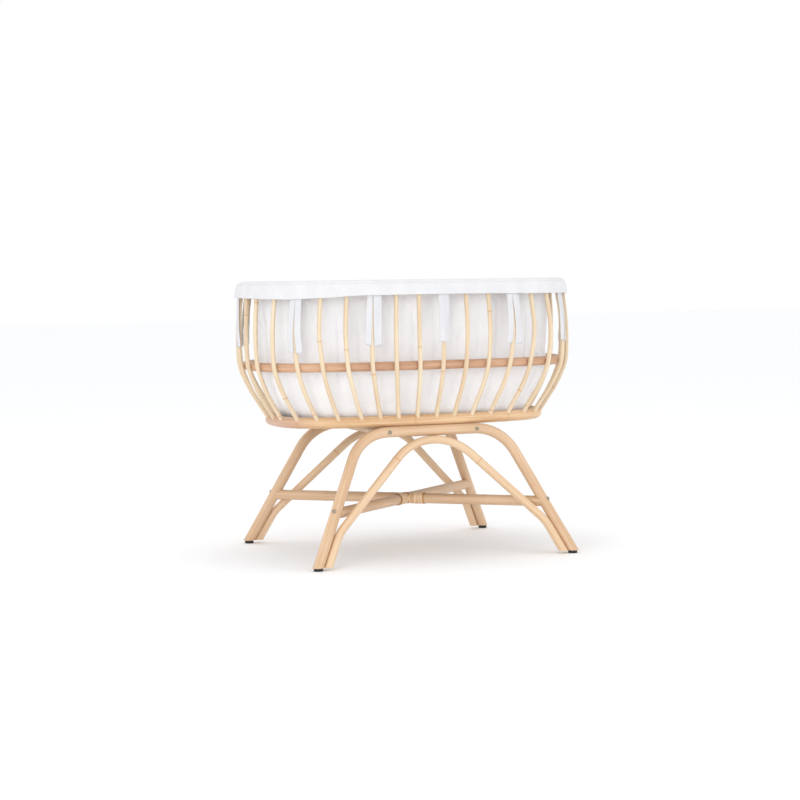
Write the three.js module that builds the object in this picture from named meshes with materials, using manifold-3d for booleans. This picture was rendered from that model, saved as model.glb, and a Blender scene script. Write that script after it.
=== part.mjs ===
// Rattan bassinet on a splayed stand: an oval cane basket that lifts off, with a fabric liner and a
// mattress. Units are millimetres, +Z is up, +X runs along the length and -Y is the front. The origin
// is on the floor under the middle of the stand.
import * as THREE from 'three';
import { mergeVertices } from 'three/addons/utils/BufferGeometryUtils.js';
import Module from 'manifold-3d';

const wasm = await Module();
wasm.setup();

// ---------- driving dimensions ----------
const GAP = 0.3; // clearance between pieces that touch

// Stand poles. The legs lean in along X and along Y as they rise.
const LEG_RADIUS = 14;
const ARCH_RADIUS = 11;
const STRETCHER_RADIUS = 14;
const RAIL_RADIUS = 11;
const FOOT_X = 363.5; // leg axis at floor level
const FOOT_Y = 295;
const LEG_SLOPE = 0.487; // mm along X for each mm of height
const BAR_Y = 188;
const BAR_Z = 336;
const BAR_BEND_RADIUS = 118;
const ARCH_SLOPE = 1.036; // mm along X for each mm of height, on the inner arch's upper half
const ARCH_SPREAD = 384; // where that half would meet the floor
const ARCH_KNEE_RADIUS = 110;
const POLE_CUT_Z = 8; // the poles are sawn off level, just above the floor
const POLE_START = -6; // the uncut poles run on below the floor
const STRETCHER_Z = 138;
const RAIL_X = 124.5;

// Fittings.
const GLIDE_RADIUS = 12;
const GLIDE_CHAMFER = 1.5;
const SCREW_HEAD_RADIUS = 5.5;
const SCREW_HEAD_HEIGHT = 3.2;
const SCREW_SOCKET_RADIUS = 2.2;
const SCREW_SOCKET_DEPTH = 1.8;
const SCREW_SHANK_RADIUS = 2.5;
const SCREW_SHANK_LENGTH = 52;
const LASHING_THICKNESS = 1.6;
const LASHING_LENGTH = 40;
const LASHING_START = 19; // distance from the middle of the crossing

// Basket.
const BASE_RING_RADIUS = 15;
const MID_RING_RADIUS = 12;
const RIM_RING_RADIUS = 11;
const CANE_RADIUS = 6;
const CANE_COUNT = 36;
const CANE_SHIFT = 0.23; // of one spacing, from the -X end towards the front
const MID_RING_Z = 510;
const RIM_RING_Z = 719;
const HEM_BOTTOM_Z = 691;
const CANE_TOP_Z = 724;
const BOARD_THICKNESS = 6;
const BOARD_CLEARANCE = 1.5;
const LINER_THICKNESS = 3;
const MATTRESS_THICKNESS = 45;
const MATTRESS_INSET = 40;

// The base ring lies on the two top bars, a little inside them.
const BASE_RING_Y = 178;
const BASE_RING_Z = BAR_Z + Math.sqrt((LEG_RADIUS + BASE_RING_RADIUS + GAP) ** 2 - (BAR_Y - BASE_RING_Y) ** 2);

// The oval through the canes' axes at each height. Squareness 2 is an ellipse.
const BASKET_LEVELS = [
  { z: BASE_RING_Z, halfLength: 369, halfWidth: BASE_RING_Y, squareness: 3 },
  { z: 400, halfLength: 397.5, halfWidth: 195.5, squareness: 3 },
  { z: 440, halfLength: 421, halfWidth: 214, squareness: 3.05 },
  { z: 480, halfLength: 438.5, halfWidth: 229, squareness: 3.1 },
  { z: MID_RING_Z, halfLength: 448, halfWidth: 237, squareness: 3.1 },
  { z: 550, halfLength: 452, halfWidth: 241, squareness: 3 },
  { z: 600, halfLength: 453, halfWidth: 242.5, squareness: 2.9 },
  { z: 650, halfLength: 452, halfWidth: 241.5, squareness: 2.75 },
  { z: HEM_BOTTOM_Z, halfLength: 449.5, halfWidth: 238.5, squareness: 2.65 },
  { z: CANE_TOP_Z, halfLength: 445.5, halfWidth: 234.5, squareness: 2.65 },
];

// How far each cane's upper half and its foot are set along the rings, in spacings. The back half of the
// canes repeats the front half's list.
const CANE_NUDGES = [
  [0, 0],
  [-0.05, -0.1],
  [-0.03, 0],
  [-0.1, 0],
  [-0.12, 0.05],
  [-0.08, 0.2],
  [-0.02, 0.14],
  [-0.03, 0.07],
  [-0.05, 0.05],
  [0, 0.05],
  [0.03, 0],
  [0.05, -0.03],
  [0.14, -0.02],
  [0.2, 0.06],
  [0.15, 0.12],
  [0.08, 0.06],
  [0.03, 0],
  [0, 0],
];
const NUDGE_HEIGHT = 90; // the upper half reaches its place this far above the middle ring
const CANE_FOOT_OUTSET = 4; // the feet stand this far outside the base ring's axis
const CANE_FOOT_CUT = 0.15; // the share of the lowest run that is left off inside the base ring

// Facets.
const POLE_SIDES = 10;
const RING_SIDES = 8;
const CANE_SIDES = 6;
const FITTING_SIDES = 12;
const RING_STEPS = 48;
const LINER_STEPS = 2 * CANE_COUNT;
const BEND_STEP = Math.PI / 16; // largest turn between two sections of a bent pole
const OVAL_SAMPLES = 1440;

// ---------- materials ----------
function finish(name, color, roughness, metalness = 0) {
  return new THREE.MeshStandardMaterial({ name, color, roughness, metalness });
}

const LEG_RATTAN = finish('leg_rattan', 0xd2a77c, 0.5);
const ARCH_RATTAN = finish('arch_rattan', 0xd9b184, 0.5);
const RING_RATTAN = finish('ring_rattan', 0xc9995f, 0.45);
const DARK_RATTAN = finish('dark_rattan', 0xa5764b, 0.5);
const CANE_RATTAN = finish('cane_rattan', 0xe3c68f, 0.45);
const LASHING_PEEL = finish('lashing_peel', 0xe0c08c, 0.6);
const DARK_BOARD = finish('dark_board', 0x201d1b, 0.8);
const LINER_FABRIC = finish('liner_fabric', 0xf3efe9, 0.9);
const MATTRESS_FABRIC = finish('mattress_fabric', 0xf5f2ee, 0.9);
const BLACK_PLASTIC = finish('black_plastic', 0x1c1b1a, 0.5);
const STEEL = finish('steel', 0xb9b9bd, 0.35, 1);

// ---------- solids ----------
// The same surface with shared corners and without triangles that have no area.
function welded(geometry) {
  geometry.deleteAttribute('normal');
  geometry.deleteAttribute('uv');
  const merged = mergeVertices(geometry, 1e-4);
  const corners = merged.index.array;
  const kept = [];
  for (let i = 0; i < corners.length; i += 3) {
    const [a, b, c] = corners.slice(i, i + 3);
    if (a !== b && b !== c && c !== a) kept.push(a, b, c);
  }
  merged.setIndex(kept);
  return merged;
}

function toSolid(geometry) {
  const shared = welded(geometry.clone());
  const vertProperties = new Float32Array(shared.attributes.position.array);
  const triVerts = new Uint32Array(shared.index.array);
  return new wasm.Manifold(new wasm.Mesh({ numProp: 3, vertProperties, triVerts }));
}

function toGeometry(solid) {
  const mesh = solid.getMesh();
  const geometry = new THREE.BufferGeometry();
  geometry.setAttribute('position', new THREE.Float32BufferAttribute(mesh.vertProperties, 3));
  geometry.setIndex(Array.from(mesh.triVerts));
  return geometry;
}

function cut(geometry, tools) {
  let solid = toSolid(geometry);
  for (const tool of tools) solid = solid.subtract(toSolid(tool));
  return toGeometry(solid);
}

// The circumradius of a section that clears one of the given radius by the gap on every flat.
function clearOf(radius, sides) {
  return radius + GAP / Math.cos(Math.PI / sides);
}

// ---------- poles ----------
// A route that puts one section of the pole at each of its points.
class PointRoute extends THREE.Curve {
  constructor(points) {
    super();
    this.points = points;
  }

  getPoint(t, target = new THREE.Vector3()) {
    const place = t * (this.points.length - 1);
    const before = Math.min(Math.floor(place), this.points.length - 2);
    return target.lerpVectors(this.points[before], this.points[before + 1], place - before);
  }

  getUtoTmapping(u) {
    return u;
  }
}

function polygon(radius, sides) {
  const corners = [];
  for (let i = 0; i < sides; i += 1) {
    const angle = (2 * Math.PI * i) / sides;
    corners.push(new THREE.Vector2(radius * Math.cos(angle), radius * Math.sin(angle)));
  }
  return corners;
}

function pole(points, radius, sides = POLE_SIDES) {
  const section = new THREE.Shape(polygon(radius, sides));
  const extrudePath = new PointRoute(points);
  return new THREE.ExtrudeGeometry(section, { steps: points.length - 1, extrudePath });
}

// The arc that rounds a corner, from the run that comes in to the run that goes out.
function roundedCorner(before, corner, after, radius) {
  const inward = before.clone().sub(corner).normalize();
  const onward = after.clone().sub(corner).normalize();
  const halfAngle = inward.angleTo(onward) / 2;
  const bisector = inward.clone().add(onward).normalize();
  const centre = corner.clone().addScaledVector(bisector, radius / Math.sin(halfAngle));
  const spoke = bisector.clone().multiplyScalar(-radius);
  const turn = Math.PI - 2 * halfAngle;
  const start = (Math.sign(spoke.cross(inward)) * turn) / 2;
  const steps = Math.ceil(turn / BEND_STEP);
  const points = [];
  for (let i = 0; i <= steps; i += 1) {
    const angle = start * (1 - (2 * i) / steps);
    points.push(spoke.clone().rotateAround(new THREE.Vector2(), angle).add(centre));
  }
  return points;
}

// A bent pole's route in its own plane, from its corners and the radius at each of them.
function bentRoute(corners, radii) {
  const points = [corners[0]];
  for (let i = 1; i < corners.length - 1; i += 1) {
    points.push(...roundedCorner(corners[i - 1], corners[i], corners[i + 1], radii[i - 1]));
  }
  points.push(corners[corners.length - 1]);
  return points;
}

// ---------- stand: the two leaning end frames ----------
// Each frame is drawn in its own plane: x as in the part, w up the slope from the floor.
const LEAN = Math.atan((FOOT_Y - BAR_Y) / BAR_Z);
const BAR_W = BAR_Z / Math.cos(LEAN);
const LEG_RUN = LEG_SLOPE * Math.cos(LEAN); // mm along x for each mm of w
const ARCH_RUN = ARCH_SLOPE * Math.cos(LEAN);

function onFrontFrame({ x, y: w }) {
  return new THREE.Vector3(x, -FOOT_Y + w * Math.sin(LEAN), w * Math.cos(LEAN));
}

function legFrameRoute() {
  const footX = FOOT_X - LEG_RUN * POLE_START;
  const cornerX = FOOT_X - LEG_RUN * BAR_W;
  const corners = [
    new THREE.Vector2(-footX, POLE_START),
    new THREE.Vector2(-cornerX, BAR_W),
    new THREE.Vector2(cornerX, BAR_W),
    new THREE.Vector2(footX, POLE_START),
  ];
  return bentRoute(corners, [BAR_BEND_RADIUS, BAR_BEND_RADIUS]).map(onFrontFrame);
}

// The inner arch runs along the inside of each leg, leaves it at the knee and touches the bar at the top.
function archRoute() {
  const spacing = LEG_RADIUS + ARCH_RADIUS + GAP;
  const insideX = FOOT_X - spacing * Math.hypot(1, LEG_RUN);
  const kneeW = (ARCH_SPREAD - insideX) / (ARCH_RUN - LEG_RUN);
  const kneeX = insideX - LEG_RUN * kneeW;
  const peakW = ARCH_SPREAD / ARCH_RUN;
  const peakAngle = Math.atan(1 / ARCH_RUN);
  const topRadius = (peakW - (BAR_W - spacing)) / (1 / Math.cos(peakAngle) - 1);
  const footX = insideX - LEG_RUN * POLE_START;
  const corners = [
    new THREE.Vector2(-footX, POLE_START),
    new THREE.Vector2(-kneeX, kneeW),
    new THREE.Vector2(0, peakW),
    new THREE.Vector2(kneeX, kneeW),
    new THREE.Vector2(footX, POLE_START),
  ];
  return bentRoute(corners, [ARCH_KNEE_RADIUS, topRadius, ARCH_KNEE_RADIUS]).map(onFrontFrame);
}

// Everything below the level at which the poles are sawn off.
function floorSaw() {
  const depth = 60;
  const saw = new THREE.BoxGeometry(3 * FOOT_X, FOOT_Y, depth);
  return saw.translate(0, -FOOT_Y, POLE_CUT_Z - depth / 2);
}

// A screw along +Y, its head's underside at the origin. A grown one is the hole that clears it.
function screwShape(growth) {
  const head = SCREW_HEAD_RADIUS + growth;
  const shank = SCREW_SHANK_RADIUS + growth;
  const tip = -SCREW_SHANK_LENGTH - growth;
  const outline = [
    [0, tip],
    [shank, tip],
    [shank, -growth],
    [head, -growth],
  ];
  if (growth > 0) {
    outline.push([head, 2 * SCREW_HEAD_HEIGHT], [0, 2 * SCREW_HEAD_HEIGHT]);
  } else {
    const socketFloor = SCREW_HEAD_HEIGHT - SCREW_SOCKET_DEPTH;
    outline.push([head, SCREW_HEAD_HEIGHT / 2], [0.75 * head, SCREW_HEAD_HEIGHT]);
    outline.push([SCREW_SOCKET_RADIUS, SCREW_HEAD_HEIGHT], [SCREW_SOCKET_RADIUS, socketFloor], [0, socketFloor]);
  }
  return new THREE.LatheGeometry(outline.map(([x, y]) => new THREE.Vector2(x, y)), POLE_SIDES);
}

// The front bar's screws, heads out. The back frame is the front one turned half way round.
const SCREW_SEAT_Y = -BAR_Y - Math.sqrt(LEG_RADIUS ** 2 - SCREW_HEAD_RADIUS ** 2);
function screwHole(x) {
  return screwShape(GAP).rotateZ(Math.PI).translate(x, SCREW_SEAT_Y, BAR_Z);
}
const frontScrewHoles = [-RAIL_X, RAIL_X].map(screwHole);

function halfTurned(geometry) {
  return geometry.clone().rotateZ(Math.PI);
}

const legFrame = cut(pole(legFrameRoute(), LEG_RADIUS), [floorSaw(), ...frontScrewHoles]);
const innerArch = cut(pole(archRoute(), ARCH_RADIUS), [floorSaw()]);
const frontLegClearance = pole(legFrameRoute(), clearOf(LEG_RADIUS, POLE_SIDES));
const legClearances = [frontLegClearance, halfTurned(frontLegClearance)];

// ---------- stand: rails and stretchers ----------
// A rail joins the two top bars, its ends hollowed to fit them.
function crossRail(x) {
  const ends = [new THREE.Vector3(x, -BAR_Y, BAR_Z), new THREE.Vector3(x, BAR_Y, BAR_Z)];
  const holes = [...frontScrewHoles, ...frontScrewHoles.map(halfTurned)];
  return cut(pole(ends, RAIL_RADIUS), [...legClearances, ...holes]);
}

const STRETCHER_END = new THREE.Vector2(FOOT_X - LEG_SLOPE * STRETCHER_Z, FOOT_Y - Math.tan(LEAN) * STRETCHER_Z);
const STRETCHER_ANGLE = STRETCHER_END.angle();

// The half-lap: a block as wide as the other stretcher that takes away one half of this one's height.
function lapBlock(otherAngle, side) {
  const reach = 6 * STRETCHER_RADIUS;
  const width = 2 * (STRETCHER_RADIUS + GAP);
  const block = new THREE.BoxGeometry(reach, width, reach).translate(0, 0, (side * (reach - GAP)) / 2);
  return block.rotateZ(otherAngle).translate(0, 0, STRETCHER_Z);
}

// side -1 runs from the back left leg to the front right one, side 1 from front left to back right.
function stretcher(side) {
  const end = new THREE.Vector3(STRETCHER_END.x, side * STRETCHER_END.y, STRETCHER_Z);
  const otherEnd = new THREE.Vector3(-end.x, -end.y, STRETCHER_Z);
  const notch = lapBlock(-side * STRETCHER_ANGLE, side);
  return cut(pole([otherEnd, end], STRETCHER_RADIUS), [...legClearances, notch]);
}

// A wrapped sleeve of rattan peel, along +Z from the origin.
function lashingSleeve() {
  const inner = (STRETCHER_RADIUS + GAP) / Math.cos(Math.PI / FITTING_SIDES);
  const sleeve = new THREE.Shape(polygon(inner + LASHING_THICKNESS, FITTING_SIDES));
  sleeve.holes.push(new THREE.Path(polygon(inner, FITTING_SIDES)));
  return new THREE.ExtrudeGeometry(sleeve, { depth: LASHING_LENGTH, bevelEnabled: false });
}

function glide() {
  const height = POLE_CUT_Z - GAP;
  const outline = [
    [0, 0],
    [GLIDE_RADIUS - GLIDE_CHAMFER, 0],
    [GLIDE_RADIUS, GLIDE_CHAMFER],
    [GLIDE_RADIUS, height],
    [0, height],
  ];
  const corners = outline.map(([x, y]) => new THREE.Vector2(x, y));
  return new THREE.LatheGeometry(corners, FITTING_SIDES).rotateX(Math.PI / 2);
}

// ---------- basket ----------
// A superellipse walked by its length: fraction 0 is the -X end and a quarter is the front.
class Oval {
  constructor(halfLength, halfWidth, squareness) {
    this.halfLength = halfLength;
    this.halfWidth = halfWidth;
    this.squareness = squareness;
    this.walk = [0];
    for (let i = 1; i <= OVAL_SAMPLES; i += 1) {
      const step = this.atAngle(i).distanceTo(this.atAngle(i - 1));
      this.walk.push(this.walk[i - 1] + step);
    }
  }

  atAngle(sample) {
    const angle = Math.PI + (2 * Math.PI * sample) / OVAL_SAMPLES;
    const bend = (value) => Math.sign(value) * Math.abs(value) ** (2 / this.squareness);
    return new THREE.Vector2(this.halfLength * bend(Math.cos(angle)), this.halfWidth * bend(Math.sin(angle)));
  }

  point(fraction) {
    const length = fraction * this.walk[OVAL_SAMPLES];
    const after = Math.max(1, this.walk.findIndex((walked) => walked >= length));
    const along = (length - this.walk[after - 1]) / (this.walk[after] - this.walk[after - 1]);
    return this.atAngle(after - 1).lerp(this.atAngle(after), along);
  }

  outward(fraction) {
    const { x, y } = this.point(fraction);
    const slope = (value, half) => (Math.sign(value) * Math.abs(value / half) ** (this.squareness - 1)) / half;
    return new THREE.Vector2(slope(x, this.halfLength), slope(y, this.halfWidth)).normalize();
  }
}

// The basket's oval at a height, moved in from the canes' axes by the inset.
function basketOval(z, inset = 0) {
  const found = BASKET_LEVELS.findIndex((level) => level.z >= z);
  const above = Math.max(1, found < 0 ? BASKET_LEVELS.length - 1 : found);
  const [low, high] = [BASKET_LEVELS[above - 1], BASKET_LEVELS[above]];
  const t = (z - low.z) / (high.z - low.z);
  const between = (key) => THREE.MathUtils.lerp(low[key], high[key], t);
  return new Oval(between('halfLength') - inset, between('halfWidth') - inset, between('squareness'));
}

// A round pole bent to an oval and closed on itself.
function ovalRing(z, inset, radius) {
  const oval = basketOval(z, inset);
  const geometry = new THREE.TorusGeometry(1, 1, RING_SIDES, RING_STEPS);
  const { position } = geometry.attributes;
  for (let side = 0; side <= RING_SIDES; side += 1) {
    const angle = (2 * Math.PI * (side % RING_SIDES)) / RING_SIDES;
    for (let step = 0; step <= RING_STEPS; step += 1) {
      const fraction = (step % RING_STEPS) / RING_STEPS;
      const spot = oval.point(fraction).addScaledVector(oval.outward(fraction), radius * Math.cos(angle));
      position.setXYZ(side * (RING_STEPS + 1) + step, spot.x, spot.y, z + radius * Math.sin(angle));
    }
  }
  return welded(geometry);
}

// A closed body whose outline is a list of [oval or null for the axis, height], bottom and outside first.
function ovalBody(outline, steps) {
  const corners = outline.map(([oval, z]) => new THREE.Vector2(oval ? oval.halfLength : 0, z));
  const geometry = new THREE.LatheGeometry(corners, steps);
  const { position } = geometry.attributes;
  for (let step = 0; step <= steps; step += 1) {
    outline.forEach(([oval, z], row) => {
      const spot = oval ? oval.point((step % steps) / steps) : new THREE.Vector2();
      position.setXYZ(step * outline.length + row, spot.x, spot.y, z);
    });
  }
  return welded(geometry);
}

// One upright cane. Its foot is hollowed to sit on the base ring.
const baseRingClearance = ovalRing(BASE_RING_Z, 0, clearOf(BASE_RING_RADIUS, RING_SIDES));
const CANE_OVALS = BASKET_LEVELS.map(({ z }, level) => basketOval(z, level === 0 ? -CANE_FOOT_OUTSET : 0));
function cane(index) {
  const [upper, foot] = CANE_NUDGES[index % CANE_NUDGES.length];
  const points = BASKET_LEVELS.map(({ z }, level) => {
    const above = THREE.MathUtils.clamp((z - MID_RING_Z) / NUDGE_HEIGHT, 0, 1);
    const below = Math.max(0, (MID_RING_Z - z) / (MID_RING_Z - BASE_RING_Z));
    const place = index + CANE_SHIFT + upper * above + foot * below;
    const { x, y } = CANE_OVALS[level].point(place / CANE_COUNT);
    return new THREE.Vector3(x, y, z);
  });
  points[0].lerp(points[1], CANE_FOOT_CUT);
  return cut(pole(points, CANE_RADIUS, CANE_SIDES), [baseRingClearance]);
}

const BOARD_TOP_Z = BASE_RING_Z + BOARD_THICKNESS / 2;
function floorBoard() {
  const edge = basketOval(BASE_RING_Z, BASE_RING_RADIUS + BOARD_CLEARANCE);
  const bottom = BOARD_TOP_Z - BOARD_THICKNESS;
  return ovalBody([[null, bottom], [edge, bottom], [edge, BOARD_TOP_Z], [null, BOARD_TOP_Z]], RING_STEPS);
}

// The liner's bag hangs inside the rings from the rim, and its hem is turned down over the cane tops.
const LINER_BOTTOM_Z = BOARD_TOP_Z + GAP;
const LINER_FLOOR_Z = LINER_BOTTOM_Z + LINER_THICKNESS;
const BAG_LEVELS = [
  { z: 392, inset: 34 },
  { z: 500, inset: 49 },
  { z: 540, inset: 54 },
  { z: 628, inset: 47 },
  { z: RIM_RING_Z, inset: 30.5 },
];
const HEM_INSIDE_Z = RIM_RING_Z + RIM_RING_RADIUS + 1.5;
const HEM_TOP_Z = HEM_INSIDE_Z + LINER_THICKNESS;
const HEM_CLEARANCE = 3;
function liner() {
  const hemInside = -(CANE_RADIUS + HEM_CLEARANCE);
  const hemOutside = hemInside - LINER_THICKNESS;
  const rimTop = { z: CANE_TOP_Z, inset: 25 };
  const wall = (extra) => BAG_LEVELS.map(({ z, inset }) => [basketOval(z, inset + extra), z]);
  return ovalBody(
    [
      [null, LINER_BOTTOM_Z],
      [basketOval(LINER_BOTTOM_Z, 34), LINER_BOTTOM_Z],
      ...wall(0),
      [basketOval(rimTop.z, rimTop.inset), HEM_INSIDE_Z],
      [basketOval(CANE_TOP_Z, -CANE_RADIUS), HEM_INSIDE_Z],
      [basketOval(HEM_BOTTOM_Z, hemInside), HEM_BOTTOM_Z],
      [basketOval(HEM_BOTTOM_Z, hemOutside), HEM_BOTTOM_Z],
      [basketOval(CANE_TOP_Z, hemOutside), CANE_TOP_Z],
      [basketOval(CANE_TOP_Z, -CANE_RADIUS), HEM_TOP_Z],
      [basketOval(rimTop.z, rimTop.inset), HEM_TOP_Z],
      ...wall(LINER_THICKNESS).reverse(),
      [basketOval(LINER_FLOOR_Z, 34 + LINER_THICKNESS), LINER_FLOOR_Z],
      [null, LINER_FLOOR_Z],
    ],
    LINER_STEPS,
  );
}

function mattress() {
  const bottom = LINER_FLOOR_Z + GAP;
  const top = bottom + MATTRESS_THICKNESS;
  const crown = 5;
  const side = (drop) => basketOval(LINER_FLOOR_Z, MATTRESS_INSET + drop);
  return ovalBody(
    [
      [null, bottom],
      [side(crown), bottom],
      [side(0), bottom + crown],
      [side(0), top - crown],
      [side(crown), top],
      [null, top],
    ],
    RING_STEPS,
  );
}

// ---------- assembly ----------
const bassinet = new THREE.Group();

function add(parent, name, geometry, material, position = [0, 0, 0]) {
  const mesh = new THREE.Mesh(welded(geometry), material);
  mesh.name = name;
  mesh.position.set(...position);
  parent.add(mesh);
  return mesh;
}

const stand = new THREE.Group();
bassinet.add(stand);
for (const [end, turn] of [['front', 0], ['back', Math.PI]]) {
  const frame = new THREE.Group();
  frame.rotation.z = turn;
  stand.add(frame);
  add(frame, `${end}_leg_frame`, legFrame.clone(), LEG_RATTAN);
  add(frame, `${end}_inner_arch`, innerArch.clone(), ARCH_RATTAN);
  for (const direction of [-1, 1]) {
    const side = direction * Math.cos(turn) < 0 ? 'left' : 'right';
    const footX = FOOT_X - LEG_SLOPE * POLE_CUT_Z;
    const footY = FOOT_Y - Math.tan(LEAN) * POLE_CUT_Z;
    add(frame, `${end}_${side}_glide`, glide(), BLACK_PLASTIC, [direction * footX, -footY, 0]);
    const place = [direction * RAIL_X, SCREW_SEAT_Y, BAR_Z];
    const screw = add(frame, `${end}_${side}_bar_screw`, screwShape(0), STEEL, place);
    screw.rotation.z = Math.PI;
  }
}
add(stand, 'left_cross_rail', crossRail(-RAIL_X), LEG_RATTAN);
add(stand, 'right_cross_rail', crossRail(RAIL_X), LEG_RATTAN);
add(stand, 'upper_stretcher', stretcher(-1), LEG_RATTAN);
add(stand, 'lower_stretcher', stretcher(1), LEG_RATTAN);
for (const [name, angle] of [['right_lashing', -STRETCHER_ANGLE], ['left_lashing', Math.PI + STRETCHER_ANGLE]]) {
  const along = new THREE.Vector3(Math.cos(angle), Math.sin(angle), 0);
  const place = [LASHING_START * along.x, LASHING_START * along.y, STRETCHER_Z];
  const sleeve = add(stand, name, lashingSleeve(), LASHING_PEEL, place);
  sleeve.quaternion.setFromUnitVectors(new THREE.Vector3(0, 0, 1), along);
}

const basket = new THREE.Group();
bassinet.add(basket);
add(basket, 'base_ring', ovalRing(BASE_RING_Z, 0, BASE_RING_RADIUS), RING_RATTAN);
add(basket, 'mid_ring', ovalRing(MID_RING_Z, CANE_RADIUS + MID_RING_RADIUS + GAP, MID_RING_RADIUS), DARK_RATTAN);
add(basket, 'rim_ring', ovalRing(RIM_RING_Z, CANE_RADIUS + RIM_RING_RADIUS + GAP, RIM_RING_RADIUS), DARK_RATTAN);
for (let index = 0; index < CANE_COUNT; index += 1) {
  const number = String(index + 1).padStart(2, '0');
  add(basket, `cane_${number}`, cane(index), CANE_RATTAN);
}
add(basket, 'floor_board', floorBoard(), DARK_BOARD);
add(basket, 'liner', liner(), LINER_FABRIC);
add(basket, 'mattress', mattress(), MATTRESS_FABRIC);

export default bassinet;
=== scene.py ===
"""A rattan bassinet on a splayed stand: an oval cane basket with a fabric liner and a mattress.

Lengths are metres, +Z is up, +X runs along the length and -Y is the front.
"""

import logging
import math
import random
from dataclasses import dataclass, field
from enum import Enum
from functools import lru_cache
from typing import Callable, Optional, Sequence, Union

import bpy
import numpy as np
from mathutils import Matrix, Vector

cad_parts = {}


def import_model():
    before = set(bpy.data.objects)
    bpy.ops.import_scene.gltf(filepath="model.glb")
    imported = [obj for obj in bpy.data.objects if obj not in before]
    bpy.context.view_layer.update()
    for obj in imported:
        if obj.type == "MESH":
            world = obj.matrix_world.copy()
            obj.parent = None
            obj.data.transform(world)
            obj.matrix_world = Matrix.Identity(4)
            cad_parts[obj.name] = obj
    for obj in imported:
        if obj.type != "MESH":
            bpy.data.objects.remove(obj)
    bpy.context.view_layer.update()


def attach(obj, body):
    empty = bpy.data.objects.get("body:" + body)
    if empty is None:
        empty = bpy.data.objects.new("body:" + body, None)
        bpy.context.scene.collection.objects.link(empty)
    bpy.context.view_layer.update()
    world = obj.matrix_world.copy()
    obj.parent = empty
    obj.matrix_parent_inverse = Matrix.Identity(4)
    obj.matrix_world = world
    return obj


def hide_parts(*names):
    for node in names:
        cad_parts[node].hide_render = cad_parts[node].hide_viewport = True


LOG = logging.getLogger("bassinet")
MM = 0.001
Colour = tuple[float, float, float]
Point2 = tuple[float, float]


class Body(Enum):
    """The bodies of the frame that pieces ride on."""

    STAND = "stand"
    BASKET = "basket"
    MATTRESS = "mattress"


class Axis(Enum):
    """Which way the sections of a bent pole are kept from turning."""

    UPRIGHT = "Z_UP"
    FREE = "MINIMUM"


def shade(red: int, green: int, blue: int) -> Colour:
    """Turns a display colour, 0 to 255, into the linear one that shaders use."""

    def linear(value: int) -> float:
        """One channel."""
        part = value / 255
        return part / 12.92 if part <= 0.04045 else ((part + 0.055) / 1.055) ** 2.4

    return linear(red), linear(green), linear(blue)


# ---------- shader maths ----------
class Socket:
    """An output socket whose operators add Math nodes."""

    def __init__(self, paint: "Paint", link: bpy.types.NodeSocket) -> None:
        """Wraps a socket of a paint's node tree."""
        self.paint = paint
        self.link = link

    def _maths(self, operation: str, first: "Value", second: "Value") -> "Socket":
        """Adds one Math node.

        Args:
            operation: the Math node's operation.
            first: its first value.
            second: its second value.

        Returns:
            The node's output.
        """
        return self.paint.node("ShaderNodeMath", {"operation": operation}, {0: first, 1: second})

    def __add__(self, other: "Value") -> "Socket":
        """The sum."""
        return self._maths("ADD", self, other)

    __radd__ = __add__

    def __sub__(self, other: "Value") -> "Socket":
        """The difference."""
        return self._maths("SUBTRACT", self, other)

    def __rsub__(self, other: "Value") -> "Socket":
        """The difference, taken from a number."""
        return self._maths("SUBTRACT", other, self)

    def __mul__(self, other: "Value") -> "Socket":
        """The product."""
        return self._maths("MULTIPLY", self, other)

    __rmul__ = __mul__

    def __pow__(self, other: "Value") -> "Socket":
        """The power."""
        return self._maths("POWER", self, other)

    def __rpow__(self, other: "Value") -> "Socket":
        """A number to this power."""
        return self._maths("POWER", other, self)


Value = Union[Socket, float, Colour]


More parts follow.
